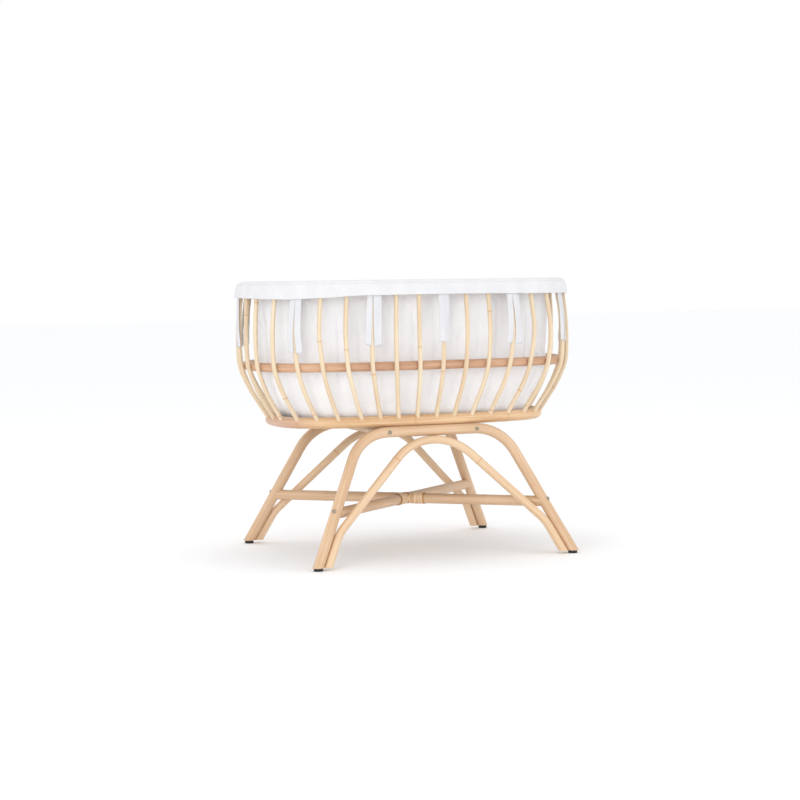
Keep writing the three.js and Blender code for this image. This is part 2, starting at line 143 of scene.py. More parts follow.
class Paint:
    """A material under construction."""

    def __init__(self, name: str) -> None:
        """Starts an empty material with that name."""
        self.material = bpy.data.materials.new(name)
        self.material.use_nodes = True
        self.tree = self.material.node_tree
        self.tree.nodes.clear()

    def node(
        self,
        kind: str,
        settings: Optional[dict] = None,
        inputs: Optional[dict] = None,
        output: Union[int, str] = 0,
    ) -> Socket:
        """Adds a node.

        Args:
            kind: the node's type.
            settings: its settings, set before its sockets; "stops" are a ramp's stops.
            inputs: values or links by socket name, identifier or number.
            output: the output that is wanted.

        Returns:
            The wanted output.
        """
        added = self.tree.nodes.new(kind)
        for key, value in (settings or {}).items():
            if key == "stops":
                self._stops(added.color_ramp, value)
            else:
                setattr(added, key, value)
        for key, value in (inputs or {}).items():
            socket = self._find(added.inputs, key)
            if isinstance(value, Socket):
                self.tree.links.new(value.link, socket)
            elif socket.type == "RGBA":
                socket.default_value = (*value, 1.0)
            else:
                socket.default_value = value
        return Socket(self, self._find(added.outputs, output))

    @staticmethod
    def _find(sockets: bpy.types.bpy_prop_collection, key: Union[int, str]) -> bpy.types.NodeSocket:
        """The socket with that number, identifier or name."""
        if isinstance(key, int):
            return sockets[key]
        by_identifier = [s for s in sockets if s.identifier == key]
        return (by_identifier or [s for s in sockets if s.name == key and s.enabled])[0]

    @staticmethod
    def _stops(ramp: bpy.types.ColorRamp, stops: Sequence[tuple[float, Colour]]) -> None:
        """Gives a ramp its stops, from the lowest place to the highest."""
        while len(ramp.elements) < len(stops):
            ramp.elements.new(0.5)
        for element, (place, colour) in zip(ramp.elements, stops):
            element.position = place
            element.color = (*colour, 1.0)

    def attribute(self, name: str, output: str) -> Socket:
        """The piece's own attribute of that name."""
        return self.node("ShaderNodeAttribute", {"attribute_name": name}, output=output)

    def place(self) -> Socket:
        """The place on the object, in metres."""
        return self.node("ShaderNodeTexCoord", output="Object")

    def stretched(self, vector: Socket, scale: Colour) -> Socket:
        """The vector times a scale for each axis."""
        return self.node("ShaderNodeVectorMath", {"operation": "MULTIPLY"}, {0: vector, 1: scale}, "Vector")

    def parts(self, vector: Socket) -> tuple[Socket, Socket, Socket]:
        """The vector's three numbers."""
        split = self.node("ShaderNodeSeparateXYZ", inputs={0: vector})
        outputs = split.link.node.outputs
        return Socket(self, outputs[0]), Socket(self, outputs[1]), Socket(self, outputs[2])

    def noise(self, vector: Socket, detail: float = 2.0, rough: float = 0.5) -> Socket:
        """Smooth noise of about 0.25 to 0.75 with one feature in each unit of the vector."""
        inputs = {"Vector": vector, "Scale": 1.0, "Detail": detail, "Roughness": rough}
        return self.node("ShaderNodeTexNoise", {"noise_dimensions": "3D"}, inputs, "Fac")

    def wave(self, value: Socket, length: float) -> Socket:
        """A wave of that length along a value, from -1 to 1."""
        return self.node("ShaderNodeMath", {"operation": "SINE"}, {0: value * (2 * math.pi / length)})

    def spread(self, value: Socket, low: float, high: float) -> Socket:
        """The value's share of the way from low to high, kept from 0 to 1."""
        settings = {"clamp": True, "interpolation_type": "SMOOTHSTEP"}
        return self.node("ShaderNodeMapRange", settings, {"Value": value, "From Min": low, "From Max": high})

    def mix(self, share: Value, first: Value, second: Value) -> Socket:
        """A mix of two colours."""
        inputs = {"Factor_Float": share, "A_Color": first, "B_Color": second}
        return self.node("ShaderNodeMix", {"data_type": "RGBA"}, inputs, "Result_Color")

    def bump(self, height: Socket, distance: float, strength: float = 1.0) -> Socket:
        """The normal of a surface with that height, in metres."""
        inputs = {"Height": height, "Distance": distance, "Strength": strength}
        return self.node("ShaderNodeBump", inputs=inputs, output="Normal")

    def done(self, **inputs: Value) -> bpy.types.Material:
        """Adds the surface shader.

        Args:
            inputs: its sockets, with underscores for spaces.

        Returns:
            The finished material.
        """
        named = {key.replace("_", " "): value for key, value in inputs.items()}
        surface = self.node("ShaderNodeBsdfPrincipled", inputs=named, output="BSDF")
        self.node_out(surface)
        return self.material

    def node_out(self, surface: Socket) -> None:
        """Joins a surface to the material's output."""
        out = self.tree.nodes.new("ShaderNodeOutputMaterial")
        self.tree.links.new(surface.link, out.inputs["Surface"])


# ---------- finishes ----------
@dataclass(frozen=True)
class RattanFinish:
    """Sanded and lacquered rattan: long streaks, dark flecks and orange growth marks."""

    name: str
    slot: str
    pale: Colour
    deep: Colour
    growth: Colour
    roughness: float = 0.42
    mark_strength: float = 0.6
    greyed_end: bool = False

    def material(self) -> bpy.types.Material:
        """Builds the material, which follows the pole along its length."""
        paint = Paint(self.name)
        grain = paint.attribute("grain", "Vector")
        growth = paint.attribute("growth", "Fac")
        streaks = paint.noise(paint.stretched(grain, (6, 260, 260)), 3)
        fibres = paint.noise(paint.stretched(grain, (30, 1100, 1100)), 2)
        tone = paint.noise(paint.stretched(grain, (5, 20, 20)), 1)
        flecks = paint.noise(paint.stretched(grain, (70, 520, 520)), 1)
        mixed = paint.spread(streaks * 0.55 + fibres * 0.25 + tone * 0.35, 0.42, 0.74)
        colour = paint.mix(mixed, self.pale, self.deep)
        colour = paint.mix(paint.spread(flecks, 0.67, 0.78) * 0.4, colour, self.growth)
        ringed = growth * (0.4 + 0.6 * paint.spread(fibres, 0.35, 0.55)) * self.mark_strength
        colour = paint.mix(ringed, colour, self.growth)
        if self.greyed_end:
            x, _, _ = paint.parts(paint.place())
            greyed = paint.spread(0 - x, 0.3, 0.372) * 0.55
            colour = paint.mix(greyed, colour, shade(196, 158, 140))
        height = streaks * 0.6 + fibres * 0.4 - growth * 0.4
        return paint.done(
            Base_Color=colour,
            Roughness=self.roughness + 0.2 * (streaks - 0.5),
            Coat_Weight=0.18,
            Coat_Roughness=0.25,
            Normal=paint.bump(height, 0.0006, 0.5),
        )


@dataclass(frozen=True)
class ClothFinish:
    """Plain woven cotton with a soft crumple, and painted shade in the crumple's hollows."""

    name: str
    slot: str
    # lit is the cloth's colour where light falls; shadow is the same cloth with painted shade.
    lit: Colour
    shadow: Colour
    thread: float = 0.9 * MM
    follows_cloth: bool = True
    stitch_rows: tuple[float, ...] = ()

    def material(self) -> bpy.types.Material:
        """Builds the material, along the cloth's own directions or on the object's place."""
        paint = Paint(self.name)
        ground = paint.attribute("cloth", "Vector") if self.follows_cloth else paint.place()
        across, along, _ = paint.parts(ground)
        threads = paint.wave(across, self.thread) * paint.wave(along, self.thread)
        crumple = paint.noise(paint.stretched(paint.place(), (26, 26, 14)), 3)
        slubs = paint.noise(paint.stretched(ground, (90, 700, 90)), 2)
        # Painted shade: where the crumple noise dips (the same noise that makes the bump), the colour goes from the
        # lit colour to the shadow colour; the slub noise adds some real uneven tone.
        wear_and_painted_shade = paint.spread(crumple * 0.7 + slubs * 0.3, 0.36, 0.66)
        colour = paint.mix(wear_and_painted_shade, self.shadow, self.lit)
        height = crumple * 3.0 + threads * 0.1 + slubs * 0.12
        for row in self.stitch_rows:
            near = 1 - paint.spread(self._distance(paint, along, row), 0.0, 0.0016)
            dash = paint.spread(paint.wave(across, 3.2 * MM), -0.55, -0.1)
            colour = paint.mix(near * dash * 0.3, colour, shade(200, 198, 202))
            height = height - near * (0.9 - 0.5 * dash)
        return paint.done(
            Base_Color=colour,
            Roughness=0.88 + 0.08 * slubs,
            Sheen_Weight=0.15,
            Normal=paint.bump(height, 0.0014, 0.7),
        )

    @staticmethod
    def _distance(paint: Paint, value: Socket, row: float) -> Socket:
        """How far a value is from a row, without its sign."""
        return paint.node("ShaderNodeMath", {"operation": "ABSOLUTE"}, {0: value - row})


@dataclass(frozen=True)
class PeelFinish:
    """Flat rattan peel in fine turns."""

    name: str
    slot: str
    pale: Colour
    deep: Colour

    def material(self) -> bpy.types.Material:
        """Builds the material, with fibres along the peel's turns."""
        paint = Paint(self.name)
        grain = paint.attribute("grain", "Vector")
        fibres = paint.noise(paint.stretched(grain, (1600, 60, 60)), 3)
        tone = paint.noise(paint.stretched(grain, (160, 25, 25)), 1)
        colour = paint.mix(paint.spread(fibres * 0.5 + tone * 0.5, 0.36, 0.66), self.pale, self.deep)
        return paint.done(
            Base_Color=colour,
            Roughness=0.5 + 0.2 * (fibres - 0.5),
            Coat_Weight=0.1,
            Normal=paint.bump(fibres, 0.0005, 0.6),
        )


@dataclass(frozen=True)
class HardFinish:
    """Moulded plastic or machined metal, with a fine uneven surface."""

    name: str
    slot: str
    colour: Colour
    # The scuffed colour: real wear, with no painted shade on hard finishes.
    wear_and_painted_shade: Colour
    roughness: float
    metallic: float = 0.0
    size: float = 2 * MM

    def material(self) -> bpy.types.Material:
        """Builds the material on the object's place."""
        paint = Paint(self.name)
        scale = 1 / self.size
        specks = paint.noise(paint.stretched(paint.place(), (scale, scale, scale)), 3)
        scuffs = paint.noise(paint.stretched(paint.place(), (scale / 6, scale / 6, scale * 1.5)), 2)
        colour = paint.mix(paint.spread(scuffs, 0.45, 0.7), self.colour, self.wear_and_painted_shade)
        return paint.done(
            Base_Color=colour,
            Roughness=self.roughness + 0.25 * (specks - 0.5),
            Metallic=self.metallic,
            Normal=paint.bump(specks, 0.0003, 0.4),
        )


@dataclass(frozen=True)
class BoardFinish:
    """A thin board with a black backing cloth stretched over it."""

    name: str
    slot: str
    dark: Colour
    fluff: Colour

    def material(self) -> bpy.types.Material:
        """Builds the material, a felted cloth on the object's place."""
        paint = Paint(self.name)
        place = paint.place()
        x, y, _ = paint.parts(place)
        mesh = paint.wave(x, 1.5 * MM) * paint.wave(y, 1.5 * MM)
        felt = paint.noise(paint.stretched(place, (500, 500, 500)), 3)
        patches = paint.noise(paint.stretched(place, (12, 12, 12)), 2)
        share = paint.spread(felt * 0.7 + patches * 0.4 + mesh * 0.05, 0.42, 0.72)
        return paint.done(
            Base_Color=paint.mix(share, self.dark, self.fluff),
            Roughness=0.86 + 0.1 * felt,
            Normal=paint.bump(mesh * 0.4 + felt, 0.0005, 0.6),
        )


@dataclass(frozen=True)
class StudioFinish:
    """Plain pale studio paper."""

    name: str
    colour: Colour

    def material(self) -> bpy.types.Material:
        """Builds the material, barely mottled."""
        paint = Paint(self.name)
        mottle = paint.noise(paint.stretched(paint.place(), (3, 3, 3)), 2)
        dimmer = tuple(0.995 * channel for channel in self.colour)
        colour = paint.mix(mottle, self.colour, dimmer)
        return paint.done(Base_Color=colour, Roughness=0.9, Specular_IOR_Level=0.1)


@lru_cache(maxsize=None)
def made(finish: object) -> bpy.types.Material:
    """The one material of a finish."""
    return finish.material()


LEG_FINISH = RattanFinish(
    "leg_rattan_finish", "leg_rattan",
    shade(220, 188, 155), shade(202, 164, 127), shade(186, 134, 92),
    0.42, 0.14,
)
ARCH_FINISH = RattanFinish(
    "arch_rattan_finish", "arch_rattan",
    shade(230, 202, 168), shade(214, 178, 141), shade(196, 136, 84),
    0.42, 0.75,
)
RING_FINISH = RattanFinish(
    "ring_rattan_finish", "ring_rattan",
    shade(229, 195, 154), shade(200, 157, 112), shade(186, 128, 74),
    0.4, 0.5, True,
)
DARK_FINISH = RattanFinish(
    "dark_rattan_finish", "dark_rattan",
    shade(214, 172, 138), shade(182, 136, 106), shade(140, 94, 66),
    0.42, 0.6,
)
CANE_FINISH = RattanFinish(
    "cane_rattan_finish", "cane_rattan",
    shade(230, 213, 185), shade(216, 190, 156), shade(198, 150, 102),
    0.42, 0.85,
)
PEEL_FINISH = PeelFinish("lashing_peel_finish", "lashing_peel", shade(242, 214, 180), shade(210, 168, 124))
KNOT_FINISH = PeelFinish("lashing_end_finish", "lashing_peel", shade(216, 164, 106), shade(168, 112, 62))
# Each cloth finish gives a lit colour and a darker colour for painted shade, which the crumple noise mixes.
LINER_FINISH = ClothFinish("liner_cloth_finish", "liner_fabric", shade(249, 250, 252), shade(243, 244, 247))
HEM_FINISH = ClothFinish(
    "hem_cloth_finish", "liner_fabric",
    shade(229, 229, 231), shade(223, 223, 226),
    stitch_rows=(0.075,),
)
TIE_FINISH = ClothFinish("tie_cloth_finish", "liner_fabric", shade(224, 224, 227), shade(217, 217, 221))
PAD_FINISH = ClothFinish(
    "mattress_cloth_finish", "mattress_fabric", shade(247, 245, 242), shade(238, 235, 231), follows_cloth=False
)
PLASTIC_FINISH = HardFinish(
    "black_plastic_finish", "black_plastic",
    shade(16, 15, 15), shade(36, 35, 34),
    0.5,
)
STEEL_FINISH = HardFinish(
    "steel_finish", "steel",
    shade(172, 162, 146), shade(120, 110, 96),
    0.34, 1.0, 0.8 * MM,
)
BOARD_FINISH = BoardFinish("dark_board_finish", "dark_board", shade(28, 26, 25), shade(62, 58, 56))


# ---------- modelling by hand ----------
def only(piece: bpy.types.Object) -> None:
    """Selects one object alone and makes it the active one."""
    if bpy.context.object is not None and bpy.context.object.mode != "OBJECT":
        bpy.ops.object.mode_set(mode="OBJECT")
    bpy.ops.object.select_all(action="DESELECT")
    piece.select_set(True)
    bpy.context.view_layer.objects.active = piece


def named(name: str) -> bpy.types.Object:
    """Names the object that was just added."""
    piece = bpy.context.object
    piece.name = name
    piece.data.name = name
    return piece


def settle(piece: bpy.types.Object) -> bpy.types.Object:
    """Puts an object's place into its mesh, so that it sits unturned at the origin."""
    only(piece)
    bpy.ops.object.transform_apply(location=True, rotation=True, scale=True)
    return piece


def tidy_faces(piece: bpy.types.Object, gap: float = 0.02 * MM) -> None:
    """Merges points that coincide and points every face outwards."""
    only(piece)
    bpy.ops.object.mode_set(mode="EDIT")
    bpy.ops.mesh.select_all(action="SELECT")
    bpy.ops.mesh.remove_doubles(threshold=gap)
    bpy.ops.mesh.normals_make_consistent(inside=False)
    bpy.ops.object.mode_set(mode="OBJECT")


def smooth(piece: bpy.types.Object, degrees: float = 40) -> None:
    """Shades a piece smoothly, apart from edges sharper than the angle."""
    only(piece)
    bpy.ops.object.shade_smooth_by_angle(angle=math.radians(degrees))


def applied(piece: bpy.types.Object, kind: str, **settings: object) -> None:
    """Adds a modifier with those settings and applies it."""
    only(piece)
    modifier = piece.modifiers.new(kind.lower(), kind)
    for key, value in settings.items():
        setattr(modifier, key, value)
    bpy.ops.object.modifier_apply(modifier=modifier.name)


def discard(piece: bpy.types.Object) -> None:
    """Removes a helper object."""
    bpy.data.objects.remove(piece, do_unlink=True)


def carve(piece: bpy.types.Object, *cutters: bpy.types.Object) -> None:
    """Cuts other solids out of a piece."""
    for cutter in cutters:
        applied(piece, "BOOLEAN", operation="DIFFERENCE", solver="EXACT", object=cutter)


def joined(name: str, parts: Sequence[bpy.types.Object]) -> bpy.types.Object:
    """Makes one object of several."""
    only(parts[0])
    for part in parts[1:]:
        part.select_set(True)
    bpy.ops.object.join()
    return named(name)


def copied(piece: bpy.types.Object, name: str, place: Optional[Matrix] = None) -> bpy.types.Object:
    """Copies a piece with its own mesh.

    Args:
        piece: the piece to copy.
        name: the copy's name.
        place: where the copy goes, if not in the same place.

    Returns:
        The copy, at the origin, with its place in its mesh.
    """
    only(piece)
    bpy.ops.object.duplicate(linked=False)
    copy = named(name)
    if place is not None:
        copy.matrix_world = place @ copy.matrix_world
        settle(copy)
    return copy


def half_turned() -> Matrix:
    """Half a turn about the upright axis, which takes the front to the back."""
    return Matrix.Rotation(math.pi, 4, "Z")


def dress(piece: bpy.types.Object, finish: object, body: Body, *nodes: str) -> bpy.types.Object:
    """Gives a piece its finish, its body and the frame's nodes that it stands for."""
    piece.data.materials.clear()
    piece.data.materials.append(made(finish))
    if nodes:
        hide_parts(*nodes)
    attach(piece, body.value)
    LOG.info("%s: %d faces, on %s", piece.name, len(piece.data.polygons), body.value)
    return piece


# ---------- poles ----------
@dataclass(frozen=True)
class GrowthMark:
    """The swelling and the orange line at a growth ring: places and sizes beside it."""

    places: tuple[float, ...] = (-0.012, -0.006, -0.003, -0.0014, 0.0, 0.0014, 0.003, 0.006, 0.012)
    sizes: tuple[float, ...] = (1.0, 1.012, 1.028, 1.03, 1.01, 1.026, 1.02, 1.008, 1.0)
    width: float = 1.7 * MM


@dataclass
class StraightPole:
    """A straight length of rattan along +X, made from one circle drawn out section by section."""

    name: str
    radius: float
    length: float
    marks: Sequence[float] = ()
    sides: int = 18
    spacing: float = 9 * MM
    closed: bool = False
    end_round: float = 2.5 * MM
    start: float = 0.0
    growth: GrowthMark = field(default_factory=GrowthMark)

    def sections(self) -> list[Point2]:
        """The place and the radius of each section, in order."""
        steps = max(4, round(self.length / self.spacing))
        even = [self.length * i / steps for i in range(steps + 1)]
        crowd = 0.6 * self.spacing
        clear = [s for s in even if all(abs(s - m) > 0.013 + 0.2 * crowd for m in self.marks)]
        found = {s: self.radius for s in [0.0, *clear, self.length]}
        for mark in self.marks:
            for place, size in zip(self.growth.places, self.growth.sizes):
                found[mark + place] = self.radius * size
        if not self.closed:
            inner = self.end_round
            found = {s: r for s, r in found.items() if inner < s < self.length - inner}
            for back, size in ((0.0, 0.72), (0.18, 0.88), (0.5, 0.97), (1.0, 1.0)):
                found[back * inner] = self.radius * size
                found[self.length - back * inner] = self.radius * size
        return sorted(found.items())

    def build(self) -> bpy.types.Object:
        """Builds the pole.

        Returns:
            The pole from the origin along +X, with its grain and growth attributes.
        """
        sections = self.sections()
        first = sections[0][1]
        bpy.ops.object.select_all(action="DESELECT")
        bpy.ops.mesh.primitive_circle_add(
            vertices=self.sides,
            radius=first,
            fill_type="NOTHING" if self.closed else "NGON",
            location=(0, 0, 0),
            rotation=(0, math.pi / 2, 0),
        )
        piece = settle(named(self.name))
        bpy.ops.object.mode_set(mode="EDIT")
        bpy.ops.mesh.select_mode(type="VERT")
        bpy.ops.mesh.select_all(action="SELECT")
        for (before, small), (after, large) in zip(sections, sections[1:]):
            move = {"value": (after - before, 0, 0)}
            bpy.ops.mesh.extrude_region_move(TRANSFORM_OT_translate=move)
            size = large / small
            if abs(size - 1) > 1e-6:
                bpy.ops.transform.resize(value=(1, size, size), center_override=(after, 0, 0))
        bpy.ops.mesh.select_all(action="SELECT")
        bpy.ops.mesh.normals_make_consistent(inside=False)
        bpy.ops.object.mode_set(mode="OBJECT")
        self._record_grain(piece)
        return piece

    def _record_grain(self, piece: bpy.types.Object) -> None:
        """Keeps each corner's place on the straight pole, and how near a growth ring it is."""
        mesh = piece.data
        corners = np.zeros(len(mesh.loops), dtype=np.int32)
        mesh.loops.foreach_get("vertex_index", corners)
        places = np.zeros(3 * len(mesh.vertices))
        mesh.vertices.foreach_get("co", places)
        places = places.reshape(-1, 3)[corners]
        nearness = np.zeros(len(places))
        for mark in self.marks:
            nearness = np.maximum(nearness, np.exp(-(((places[:, 0] - mark) / self.growth.width) ** 2)))
        grain = mesh.attributes.new("grain", "FLOAT_VECTOR", "CORNER")
        grain.data.foreach_set("vector", (places + [self.start, 0, 0]).astype(np.float32).ravel())
        growth = mesh.attributes.new("growth", "FLOAT", "CORNER")
        growth.data.foreach_set("value", nearness.astype(np.float32))


def route_length(points: Sequence[Vector], closed: bool = False) -> float:
    """The length of a route through points."""
    onward = [*points[1:], points[0]] if closed else points[1:]
    return sum((b - a).length for a, b in zip(points, onward))


def bend(piece: bpy.types.Object, route: Sequence[Vector], closed: bool, axis: Axis) -> bpy.types.Object:
    """Bends a straight piece along a route.

    Args:
        piece: a piece along +X, as long as the route.
        route: the points that its axis goes through.
        closed: whether the route comes back to its start.
        axis: how the sections are kept from turning.

    Returns:
        The same piece, bent.
    """
    path = bpy.data.curves.new("route", "CURVE")
    path.dimensions = "3D"
    path.twist_mode = axis.value
    spline = path.splines.new("POLY")
    spline.points.add(len(route) - 1)
    for point, place in zip(spline.points, route):
        point.co = (*place, 1.0)
    spline.use_cyclic_u = closed
    guide = bpy.data.objects.new("route", path)
    bpy.context.scene.collection.objects.link(guide)
    applied(piece, "CURVE", object=guide, deform_axis="POS_X")
    discard(guide)
    bpy.data.curves.remove(path)
    if closed:
        tidy_faces(piece, 0.3 * MM)
    return piece


def rounded_corner(before: Vector, corner: Vector, after: Vector, radius: float) -> list[Vector]:
    """The arc that rounds a corner of a route in a plane.

    Args:
        before: the route's point before the corner.
        corner: the sharp corner.
        after: the route's point after it.
        radius: the arc's radius.

    Returns:
        The arc's points.
    """
    inward = (before - corner).normalized()
    onward = (after - corner).normalized()
    half_angle = inward.angle(onward) / 2
    bisector = (inward + onward).normalized()
    centre = corner + bisector * (radius / math.sin(half_angle))
    turn = math.pi - 2 * half_angle
    spoke = bisector * -radius
    side = 1 if spoke.x * inward.y - spoke.y * inward.x > 0 else -1
    steps = math.ceil(turn * radius / (4 * MM))
    points = []
    for i in range(steps + 1):
        angle = side * turn / 2 * (1 - 2 * i / steps)
        cos, sin = math.cos(angle), math.sin(angle)
        points.append(centre + Vector((spoke.x * cos - spoke.y * sin, spoke.x * sin + spoke.y * cos)))
    return points


def evenly(points: Sequence[Vector], spacing: float = 4 * MM) -> list[Vector]:
    """Points at an even spacing along an open route."""
    places = np.array([tuple(p) for p in points])
    walked = np.concatenate([[0], np.cumsum(np.linalg.norm(np.diff(places, axis=0), axis=1))])
    wanted = np.linspace(0, walked[-1], max(3, round(walked[-1] / spacing)))
    return [Vector([np.interp(w, walked, places[:, k]) for k in range(3)]) for w in wanted]


def bent_route(corners: Sequence[Point2], radii: Sequence[float]) -> list[Vector]:
    """A bent pole's route in its own plane, from its corners and the radius at each of them."""
    spots = [Vector(c) for c in corners]
    points = [spots[0]]
    for i, radius in enumerate(radii, start=1):
        points += rounded_corner(spots[i - 1], spots[i], spots[i + 1], radius)
    return [*points, spots[-1]]


# ---------- the basket's ovals ----------
@dataclass(frozen=True)
class Oval:
    """A superellipse walked by its length: fraction 0 is the -X end and a quarter is the front."""

    half_length: float
    half_width: float
    squareness: float

    @lru_cache(maxsize=None)
    def _samples(self) -> tuple[np.ndarray, np.ndarray]:
        """Points all the way round, and the share of the way round that each is at."""
        angle = np.pi + np.linspace(0, 2 * np.pi, 2881)
        power = 2 / self.squareness
        cos, sin = np.cos(angle), np.sin(angle)
        x = self.half_length * np.sign(cos) * np.abs(cos) ** power
        y = self.half_width * np.sign(sin) * np.abs(sin) ** power
        steps = np.hypot(np.diff(x), np.diff(y))
        walked = np.concatenate([[0], np.cumsum(steps)])
        return np.stack([x, y], axis=1), walked / walked[-1]

    def points(self, fractions: np.ndarray) -> np.ndarray:
        """The points at some shares of the way round."""
        places, shares = self._samples()
        wrapped = np.mod(fractions, 1)
        return np.stack([np.interp(wrapped, shares, places[:, k]) for k in (0, 1)], axis=-1)

    def outward(self, fractions: np.ndarray) -> np.ndarray:
        """The outward directions there."""
        spots = self.points(fractions)
        halves = np.array([self.half_length, self.half_width])
        slope = np.sign(spots) * np.abs(spots / halves) ** (self.squareness - 1) / halves
        return slope / np.linalg.norm(slope, axis=-1, keepdims=True)


@dataclass(frozen=True)
class BasketShape:
    """The oval through the canes' axes at each height: height, half length, half width, squareness."""

    levels: tuple[tuple[float, float, float, float], ...] = (
        (0.36354, 0.369, 0.178, 3.0),
        (0.400, 0.3975, 0.1955, 3.0),
        (0.440, 0.421, 0.214, 3.05),
        (0.480, 0.4385, 0.229, 3.1),
        (0.510, 0.448, 0.237, 3.1),
        (0.550, 0.452, 0.241, 3.0),
        (0.600, 0.453, 0.2425, 2.9),
        (0.650, 0.452, 0.2415, 2.75),
        (0.691, 0.4495, 0.2385, 2.65),
        (0.724, 0.4455, 0.2345, 2.65),
    )

    def oval(self, height: float, inset: float = 0.0) -> Oval:
        """The oval at a height, moved in from the canes' axes by the inset."""
        heights = [level[0] for level in self.levels]
        length, width, squareness = (
            float(np.interp(height, heights, [level[k] for level in self.levels])) for k in (1, 2, 3)
        )
        return Oval(round(length - inset, 7), round(width - inset, 7), squareness)

    def ring_route(self, height: float, inset: float, count: int = 480) -> list[Vector]:
        """A closed route round the basket, starting at the back."""
        shares = 0.75 + np.arange(count) / count
        return [Vector((x, y, height)) for x, y in self.oval(height, inset).points(shares)]


SHAPE = BasketShape()
RIM_Z = 0.719
MID_Z = 0.510
BASE_Z = 0.36354


def cloth_mesh(
    name: str,
    rows: Sequence[np.ndarray],
    across: np.ndarray,
    along: Sequence[float],
    closed: bool,
    centre: Optional[Vector] = None,
) -> bpy.types.Object:
    """Makes a sheet from rows of points.

    Args:
        name: the piece's name.
        rows: each row's points, all rows with the same count.
        across: each column's distance across the cloth, with one more for the seam when closed.
        along: each row's distance along the cloth.
        closed: whether a row comes back to its start.
        centre: a point that the last row closes to, if any.

    Returns:
        The sheet, with its own directions kept in the attribute "cloth".
    """
    count = len(rows[0])
    places = [tuple(p) for row in rows for p in row]
    faces, flats = [], []
    columns = count if closed else count - 1
    for r in range(len(rows) - 1):
        for c in range(columns):
            after = (c + 1) % count
            faces.append((r * count + c, r * count + after, (r + 1) * count + after, (r + 1) * count + c))
            low, high = along[r], along[r + 1]
            flats += [(across[c], low), (across[c + 1], low), (across[c + 1], high), (across[c], high)]
    if centre is not None:
        places.append(tuple(centre))
        start = (len(rows) - 1) * count
        for c in range(columns):
            faces.append((start + c, start + (c + 1) % count, len(places) - 1))
            flats += [(across[c], along[-1]), (across[c + 1], along[-1]), (across[c], along[-1] + 0.1)]
    mesh = bpy.data.meshes.new(name)
    mesh.from_pydata(places, [], faces)
    flat = np.array([(u, v, 0.0) for u, v in flats], dtype=np.float32)
    mesh.attributes.new("cloth", "FLOAT_VECTOR", "CORNER").data.foreach_set("vector", flat.ravel())
    piece = bpy.data.objects.new(name, mesh)
    bpy.context.scene.collection.objects.link(piece)
    mesh.shade_smooth()
    return piece


def along_lengths(rows: Sequence[np.ndarray]) -> list[float]:
    """The mean distance walked from row to row."""
    steps = [float(np.linalg.norm(b - a, axis=1).mean()) for a, b in zip(rows, rows[1:])]
    return [0.0, *np.cumsum(steps).tolist()]


